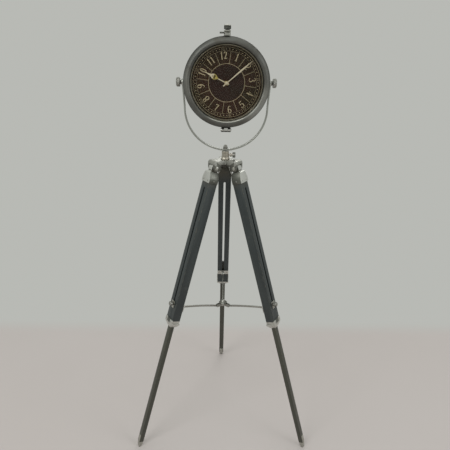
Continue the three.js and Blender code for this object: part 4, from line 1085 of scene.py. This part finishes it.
def flat_strip(points, widths, y0, y1):
    """Closed ribbon along a polyline in the dial plane, with flat ends; widths are full widths."""
    pts = [Vector(p) for p in points]
    left, right = [], []
    for i, p in enumerate(pts):
        a, b = pts[max(0, i - 1)], pts[min(len(pts) - 1, i + 1)]
        d = (b - a).normalized()
        n = Vector((-d.y, d.x)) * widths[i] / 2
        left.append(p + n)
        right.append(p - n)
    outline = [tuple(v) for v in left + right[::-1]]
    return b_prism("y", outline, y0, y1)


def ring_strip(r0, r1, y0, y1, n=240):
    return b_turned("y", [(r0, y0), (r1, y0), (r1, y1), (r0, y1), (r0, y0)], n)


def arc(cx, cy, rx, ry, a0, a1, n=14):
    return [(cx + rx * math.cos((a0 + (a1 - a0) * i / n) * D), cy + ry * math.sin((a0 + (a1 - a0) * i / n) * D)) for i in range(n + 1)]


def smooth_line(points, n=5):
    """Catmull-Rom through the points."""
    out = []
    p = [Vector(q) for q in points]
    for i in range(len(p) - 1):
        a, b, c, d = p[max(0, i - 1)], p[i], p[i + 1], p[min(len(p) - 1, i + 2)]
        for k in range(n):
            t = k / n
            out.append(tuple(0.5 * ((2 * b) + (c - a) * t + (2 * a - 5 * b + 4 * c - d) * t * t + (3 * b - a - 3 * c + d) * t ** 3)))
    out.append(tuple(p[-1]))
    return out


# numerals as pen strokes in a box 0..0.6 wide, 0..1 high: (points, thin, thick)
GLYPHS = {
    "1": [([(0.12, 0.78), (0.22, 0.86), (0.30, 1.0)], "thin"), ([(0.30, 0.98), (0.30, 0.02)], "stem"), ([(0.16, 0.02), (0.44, 0.02)], "foot")],
    "2": [(arc(0.30, 0.74, 0.21, 0.22, 170, -20, 16) + [(0.42, 0.50), (0.26, 0.28), (0.10, 0.06)], "curve"), ([(0.08, 0.05), (0.30, 0.075), (0.52, 0.05)], "foot2"), ([(0.52, 0.05), (0.54, 0.2)], "hair")],
    "3": [(arc(0.29, 0.76, 0.19, 0.20, 160, -75, 16), "curve"), (arc(0.28, 0.29, 0.24, 0.26, 85, -160, 18), "curve")],
    "4": [([(0.40, 0.98), (0.06, 0.32)], "hair"), ([(0.05, 0.32), (0.56, 0.32)], "foot"), ([(0.40, 0.98), (0.40, 0.02)], "stem"), ([(0.28, 0.02), (0.52, 0.02)], "foot")],
    "5": [([(0.14, 0.95), (0.50, 0.95)], "stemh"), ([(0.15, 0.96), (0.12, 0.56)], "hair"), (arc(0.28, 0.33, 0.24, 0.29, 140, -160, 20), "curve")],
    "6": [([(0.48, 0.90), (0.38, 0.98), (0.26, 0.94), (0.15, 0.76), (0.09, 0.48), (0.09, 0.30)], "curve"), (arc(0.30, 0.28, 0.21, 0.26, 180, -180, 24), "bowl")],
    "7": [([(0.08, 0.80), (0.10, 0.95)], "hair"), ([(0.08, 0.94), (0.30, 0.91), (0.54, 0.95)], "foot2"), ([(0.54, 0.95), (0.38, 0.62), (0.28, 0.32), (0.25, 0.02)], "stemc")],
    "8": [(arc(0.30, 0.75, 0.17, 0.20, 90, 450, 26), "bowl"), (arc(0.30, 0.28, 0.22, 0.26, 90, 450, 26), "bowl")],
    "9": [([(0.12, 0.10), (0.22, 0.02), (0.34, 0.06), (0.45, 0.24), (0.51, 0.52), (0.51, 0.70)], "curve"), (arc(0.30, 0.72, 0.21, 0.26, 0, 360, 24), "bowl")],
    "0": [(arc(0.30, 0.50, 0.21, 0.47, 90, 450, 34), "bowl")],
}
STROKE = {"thin": (0.05, 0.09), "stem": (0.13, 0.13), "stemh": (0.12, 0.12), "stemc": (0.06, 0.15), "foot": (0.06, 0.06), "foot2": (0.05, 0.11), "hair": (0.05, 0.05), "curve": (0.06, 0.14), "bowl": (0.07, 0.14)}


def digit_parts(text, height, width, centre, turn, y0, y1, weight=1.0):
    """Flat pieces of a number, centred at a point of the dial plane and turned (radians, clockwise from the front)."""
    parts = []
    gap = 0.10
    total = len(text) * 0.6 + (len(text) - 1) * gap
    ca, sa = math.cos(turn), math.sin(turn)
    step = 0.0
    for i, ch in enumerate(text):
        off = i * (0.6 + gap) - total / 2
        for pts, kind in GLYPHS[ch]:
            thin, thick = STROKE[kind]
            line = smooth_line(pts, 3) if len(pts) > 2 and kind not in ("foot2",) else pts
            closed = kind == "bowl"
            q, w = [], []
            for k, (x, z) in enumerate(line):
                a, b = Vector(line[max(0, k - 1)]), Vector(line[min(len(line) - 1, k + 1)])
                d = b - a
                d = d.normalized() if d.length > 1e-9 else Vector((0, 1))
                if kind in ("curve", "bowl"):
                    width_k = thin + (thick - thin) * abs(d.y) ** 1.5
                elif kind in ("stemc", "foot2"):
                    width_k = thin + (thick - thin) * math.sin(math.pi * (0.25 + 0.6 * k / max(1, len(line) - 1)))
                elif kind == "thin":
                    width_k = thin + (thick - thin) * k / max(1, len(line) - 1)
                else:
                    width_k = thick
                u, v = (off + x) * width, (z - 0.5) * height
                q.append((centre[0] + u * ca + v * sa, centre[1] - u * sa + v * ca))
                w.append(width_k * height * 0.62 * weight)
            # each stroke lies a hair higher than the last, so overlaps never share a face
            parts.append(flat_strip(q, w, y0 - step, y1))
            step += 0.004
    return parts


def build_dial():
    plate = b_turned("y", rounded([(5.2, -25.4, 0.1), (127.8, -25.4, 0.4), (128.2, -25.0, 0.3), (128.2, -22.4, 0.3), (5.2, -22.4, 0.1), (5.2, -25.4, 0.1)], 0.2, 2), 192)
    piece("dial_disc", plate, DIAL, "drum", T_CLOCK, ["dial_plate"], 25)
    low, high = DIAL_Y - 0.12, DIAL_Y + 0.05
    # rings and divider lines
    lines = [ring_strip(58.2, 59.6, low, high), ring_strip(107.6, 108.8, low, high), ring_strip(96.6, 97.2, low - 0.0, high)]
    for k in range(12):
        a = 15 + 30 * k
        w = 1.25
        p, q = on_dial(59.9, a), on_dial(96.3, a)
        lines.append(flat_strip([p, q], [w, w * 0.8], low, high))
    piece("dial_rules", b_join(*lines), LINE_INK, "drum", T_CLOCK, sharp=60)
    # minute track
    dots = []
    for k in range(60):
        a = 6 * k
        if k % 5 == 0:
            continue
        u, v = on_dial(102.4, a)
        dots.append(b_prism("y", circle_outline(1.5, 12, u, v), low, high))
    for k in range(12):
        a = 30 * k
        text = str(60 if k == 0 else 5 * k)
        turn = a * D - PRINT_TURN
        dots += digit_parts(text, 7.4, 7.6, on_dial(102.4, a), turn, low, high, 1.05)
    piece("dial_minutes", b_join(*dots), INK, "drum", T_CLOCK, sharp=60)
    # hour numbers
    nums = []
    for h in range(1, 13):
        a = 30 * h
        text = str(h)
        turn = a * D - PRINT_TURN
        if h in (6, 7):
            turn += math.pi
        if h == 5:
            turn += math.pi
        width = 22.0 if len(text) == 1 else 16.5
        nums += digit_parts(text, 22.5, width, on_dial(83.6, a), turn, low, high, 1.36)
    piece("dial_hours", b_join(*nums), INK, "drum", T_CLOCK, sharp=60)


# ------------------------------------------------------------------ hands
def b_crowned(outline, y_back, y_edge, y_crown, inset=0.55):
    """Flat plate with a faceted crown: the outline at the back and edge, an inner outline raised."""
    c = Vector((sum(p[0] for p in outline) / len(outline), sum(p[1] for p in outline) / len(outline)))
    n = len(outline)
    inner = []
    for i in range(n):
        a, p, b = Vector(outline[i - 1]), Vector(outline[i]), Vector(outline[(i + 1) % n])
        d = ((p - a).normalized() + (b - p).normalized())
        d = d.normalized() if d.length > 1e-6 else Vector((1, 0))
        nrm = Vector((-d.y, d.x))
        inner.append(p + nrm * inset)
    if sum((outline[i][0] * outline[(i + 1) % n][1] - outline[(i + 1) % n][0] * outline[i][1]) for i in range(n)) < 0:
        inner = [2 * Vector(outline[i]) - inner[i] for i in range(n)]
    rings = [[(x, y_back, z) for x, z in outline], [(x, y_edge, z) for x, z in outline], [(p.x, y_crown, p.y) for p in inner]]
    return b_loft(rings)


def build_hands():
    half = [(1.9, -9), (2.3, -6), (2.5, 0), (1.9, 8), (1.6, 20), (1.6, 31), (2.3, 32.8), (3.7, 34.6), (5.8, 37.4), (7.8, 41.2), (8.6, 44.6), (8.3, 48.0), (6.6, 51.8), (4.6, 55.2), (3.3, 58.6), (2.5, 63), (1.5, 71), (0.5, 80)]
    outline = [(x, z) for x, z in half] + [(-x, z) for x, z in reversed(half)]
    hour = b_crowned(outline, -30.2, -31.0, -31.4, 0.5)
    hour = b_bool(
        hour,
        ("+", b_rod("y", 5.6, -31.4, -30.2, 0, 0, 64, edge=0.3)),
        ("-", b_rod("y", 2.95, -40, 0, 0, 0, 40)),
        ("-", b_rod("y", 2.8, -40, 0, -2.9, 43.6, 32)),
        ("-", b_rod("y", 2.8, -40, 0, 2.9, 43.6, 32)),
        ("-", b_rod("y", 1.5, -40, 0, 0, 49.6, 24)),
    )
    o = piece("hour_pointer", hour, [HAND, SPADE], "hour_train", T_CLOCK @ Matrix.Rotation(-64.5 * D, 4, "Y"), ["hour_hand"], 30)
    own = o.data.attributes["lc"]
    for p in o.data.polygons:
        z = sum(own.data[v].vector.z for v in p.vertices) / len(p.vertices)
        p.material_index = 1 if 0.0315 < z < 0.0475 else 0
    m = [(2.0, -14), (1.7, -6), (1.6, 0), (1.5, 20), (2.1, 42), (2.7, 62), (2.4, 76), (1.4, 92), (0.5, 107)]
    outline = [(x, z) for x, z in m] + [(-x, z) for x, z in reversed(m)]
    minute = b_crowned(outline, -33.4, -34.0, -34.6, 0.62)
    hub = b_turned("y", [(0, -37), (1.6, -36.95), (2.9, -36.6), (4.0, -35.9), (4.6, -35.0), (4.7, -34.2), (4.6, -33.4), (0, -33.4)], 48)
    minute = b_bool(minute, ("+", hub), ("-", b_rod("y", 1.55, -34.6, -20, 0, 0, 32)))
    piece("minute_pointer", minute, HAND, "minute_train", T_CLOCK @ Matrix.Rotation(50 * D, 4, "Y"), ["minute_hand"], 30)


# ------------------------------------------------------------------ movement
def build_movement():
    phi, cd, psi = 30 * D, 12.0, 75 * D
    mx, mz = cd * math.sin(phi), cd * math.cos(phi)
    sx, sz = mx + cd * math.sin(psi), mz + cd * math.cos(psi)
    shell = b_bevel(b_box(-28, 28, -22, -5, -31, 27), 1.2, 3, 30)
    shell = b_bool(
        shell,
        ("+", b_rod("y", 4.8, -29.4, -21, 0, 0, 40)),
        ("-", b_box(-26.4, 26.4, -20.4, -7, -12.6, 25.4)),
        ("-", b_box(-26.4, 26.4, -20.4, 0, -29.6, -14.2)),
        ("-", b_rod("y", 3.3, -35, -15, 0, 0, 40)),
        ("-", b_rod("y", 2.2, -10, 0, sx, sz, 32)),
    )
    piece("movement_shell", shell, PLASTIC, "drum", T_CLOCK, ["movement_housing"], 35)
    cell = b_turned("x", rounded([(0, -24.6), (5.6, -24.6), (7, -24.2, 0.8), (7, 23.6, 0.8), (4.4, 24, 0.3), (2.8, 24.0, 0.2), (2.7, 25.4, 0.4), (0, 25.4)], 0.4, 3), 64)
    piece("battery_cell", cell, SLEEVE, "drum", T_CLOCK @ Matrix.Translation((0, -13.2, -21.9)), ["battery"], 35)
    nut = b_bool(b_bevel(b_rod("y", 8, -28.6, -25.8, 0, 0, 6), 0.35, 2, 20), ("-", b_rod("y", 5.1, -40, 0, 0, 0, 40)))
    piece("dial_nut", nut, BRASS, "drum", T_CLOCK, ["bushing_nut"], 30)
    rows = [(0, -4.4, 0), (7.4, -4.4, 0.2), (8, -3.8, 1), (8, -1.0, 1), (7.4, -0.4, 0.2), (0, -0.4, 0)]
    grip = knurl_knob("y", rows, 120, 30, 0.35)
    shaft = b_rod("y", 1.6, -19.6, -3, 0, 0, 24)
    teeth = []
    rp, mod = 3.0, 0.75
    for i in range(8):
        c = psi + math.pi + i / 8 * 2 * math.pi
        for r, h in ((rp - 1.05 * mod, -0.78 * mod), (rp + 0.66 * mod, -0.36 * mod), (rp + 0.66 * mod, 0.36 * mod), (rp - 1.05 * mod, 0.78 * mod)):
            t = c + h / rp
            teeth.append((r * math.sin(t), r * math.cos(t)))
    pinion = b_prism("y", teeth, -12.4, -10.4)
    piece("setting_wheel", b_join(grip, shaft, pinion), KNOB_PLASTIC, "setting", T_CLOCK @ Matrix.Translation((sx, 0, sz)), ["set_knob"], 35)
    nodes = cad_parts
    for name, mat in (("minute_arbor", BRASS), ("minute_wheel", BRASS), ("hour_wheel", BRASS), ("drive_unit", PLASTIC)):
        data = nodes[name].data
        if not data.materials:
            data.materials.append(mat)
        nodes[name].material_slots[0].link = "OBJECT"
        nodes[name].material_slots[0].material = mat


# ------------------------------------------------------------------ surroundings
WALL = (0.482, 0.490, 0.461)


def build_stage():
    bm = bmesh.new()
    n = 96
    rings = []
    for r in (0.0, 0.6, 1.2, 2.4, 6.0, 14.0, 50.0):
        if r == 0:
            rings.append([bm.verts.new((0, 0, 0))])
        else:
            rings.append([bm.verts.new((r * math.cos(2 * math.pi * k / n), r * math.sin(2 * math.pi * k / n), 0)) for k in range(n)])
    for a, b in zip(rings, rings[1:]):
        for k in range(n):
            k2 = (k + 1) % n
            if len(a) == 1:
                bm.faces.new((a[0], b[k], b[k2]))
            else:
                bm.faces.new((a[k], b[k], b[k2], a[k2]))
    me = bpy.data.meshes.new("studio_floor")
    bm.to_mesh(me)
    bm.free()
    floor = bpy.data.objects.new("studio_floor", me)
    bpy.context.scene.collection.objects.link(floor)
    m = Nodes("floor_matte")
    co = m.coords()
    soft = m.noise(m.scaled(co, 0.9), 1.0, 3.0, 0.5)
    m.set(Base_Color=m.mix(soft, srgb(190, 183, 181), srgb(196, 190, 189)), Roughness=0.75)
    # away from the object the floor runs into the tone of the backdrop
    x, y, z = m.split(co)
    r = m.math("SQRT", m.math("ADD", m.math("MULTIPLY", x, x), m.math("MULTIPLY", y, y)))
    far = m.math("MAXIMUM", m.span(y, 0.45, 0.60), m.span(r, 1.8, 3.6))
    glow = m.node("ShaderNodeEmission")
    glow.inputs["Color"].default_value = (*WALL, 1.0)
    glow.inputs["Strength"].default_value = 1.0
    blend = m.node("ShaderNodeMixShader")
    m.feed(blend.inputs[0], far)
    m.tree.links.new(m.bsdf.outputs[0], blend.inputs[1])
    m.tree.links.new(glow.outputs[0], blend.inputs[2])
    out = next(k for k in m.tree.nodes if k.type == "OUTPUT_MATERIAL")
    m.tree.links.new(blend.outputs[0], out.inputs["Surface"])
    me.materials.append(m.material)

    world = bpy.data.worlds.new("studio")
    bpy.context.scene.world = world
    world.use_nodes = True
    t = world.node_tree
    bg = next(k for k in t.nodes if k.type == "BACKGROUND")

    def node(kind, **settings):
        k = t.nodes.new(kind)
        for key, value in settings.items():
            setattr(k, key, value)
        return k

    def span(value, a, b, lo, hi):
        k = node("ShaderNodeMapRange", interpolation_type="SMOOTHSTEP")
        t.links.new(value, k.inputs["Value"])
        for key, v in (("From Min", a), ("From Max", b), ("To Min", lo), ("To Max", hi)):
            k.inputs[key].default_value = v
        return k.outputs["Result"]

    def times(a, b):
        k = node("ShaderNodeMath", operation="MULTIPLY")
        t.links.new(a, k.inputs[0])
        t.links.new(b, k.inputs[1])
        return k.outputs[0]

    co = node("ShaderNodeTexCoord")
    sep = node("ShaderNodeSeparateXYZ")
    t.links.new(co.outputs["Generated"], sep.inputs[0])
    up = span(sep.outputs["Z"], 0.10, 0.95, 1.0, WORLD_TOP)
    front = span(sep.outputs["Y"], -0.10, -0.85, 1.0, WORLD_FRONT)
    painted_light_level = times(up, front)
    bg.inputs["Color"].default_value = (*WALL, 1.0)
    t.links.new(painted_light_level, bg.inputs["Strength"])

    def soft_light(name, loc, target, size, power, colour):
        data = bpy.data.lights.new(name, "AREA")
        data.shape = "RECTANGLE"
        data.size, data.size_y = size
        data.energy = power
        data.color = colour
        o = bpy.data.objects.new(name, data)
        bpy.context.scene.collection.objects.link(o)
        o.location = loc
        o.rotation_euler = (Vector(target) - Vector(loc)).to_track_quat("-Z", "Y").to_euler()
        return o

    soft_light("key_soft", (-2.0, -2.3, 3.2), (0, 0, 0.9), (1.8, 1.4), 40, (1.0, 1.0, 0.985))
    soft_light("fill_soft", (2.6, -1.6, 2.2), (0, 0, 1.0), (1.4, 1.8), 18, (0.985, 0.99, 1.0))
    soft_light("back_soft", (0.6, 2.8, 2.8), (0, 0, 0.9), (1.8, 1.0), 14, (1.0, 0.99, 0.97))
    bpy.context.scene.view_settings.view_transform = "Standard"
    bpy.context.scene.view_settings.look = "None"
    bpy.context.scene.view_settings.exposure = 0.0
    bpy.context.scene.view_settings.gamma = 1.0


WORLD_TOP, WORLD_FRONT = 1.6, 0.80

build_head()
build_post()
build_clamp_knob()
build_bolts()
for tag, azimuth in LEGS.items():
    build_leg(tag, azimuth)
    build_arm(tag, azimuth)
build_hub()
build_yoke()
build_tilt_knobs()
build_drum()
build_bezel()
build_hinge()
build_latch()
build_dial()
build_hands()
build_movement()
build_stage()
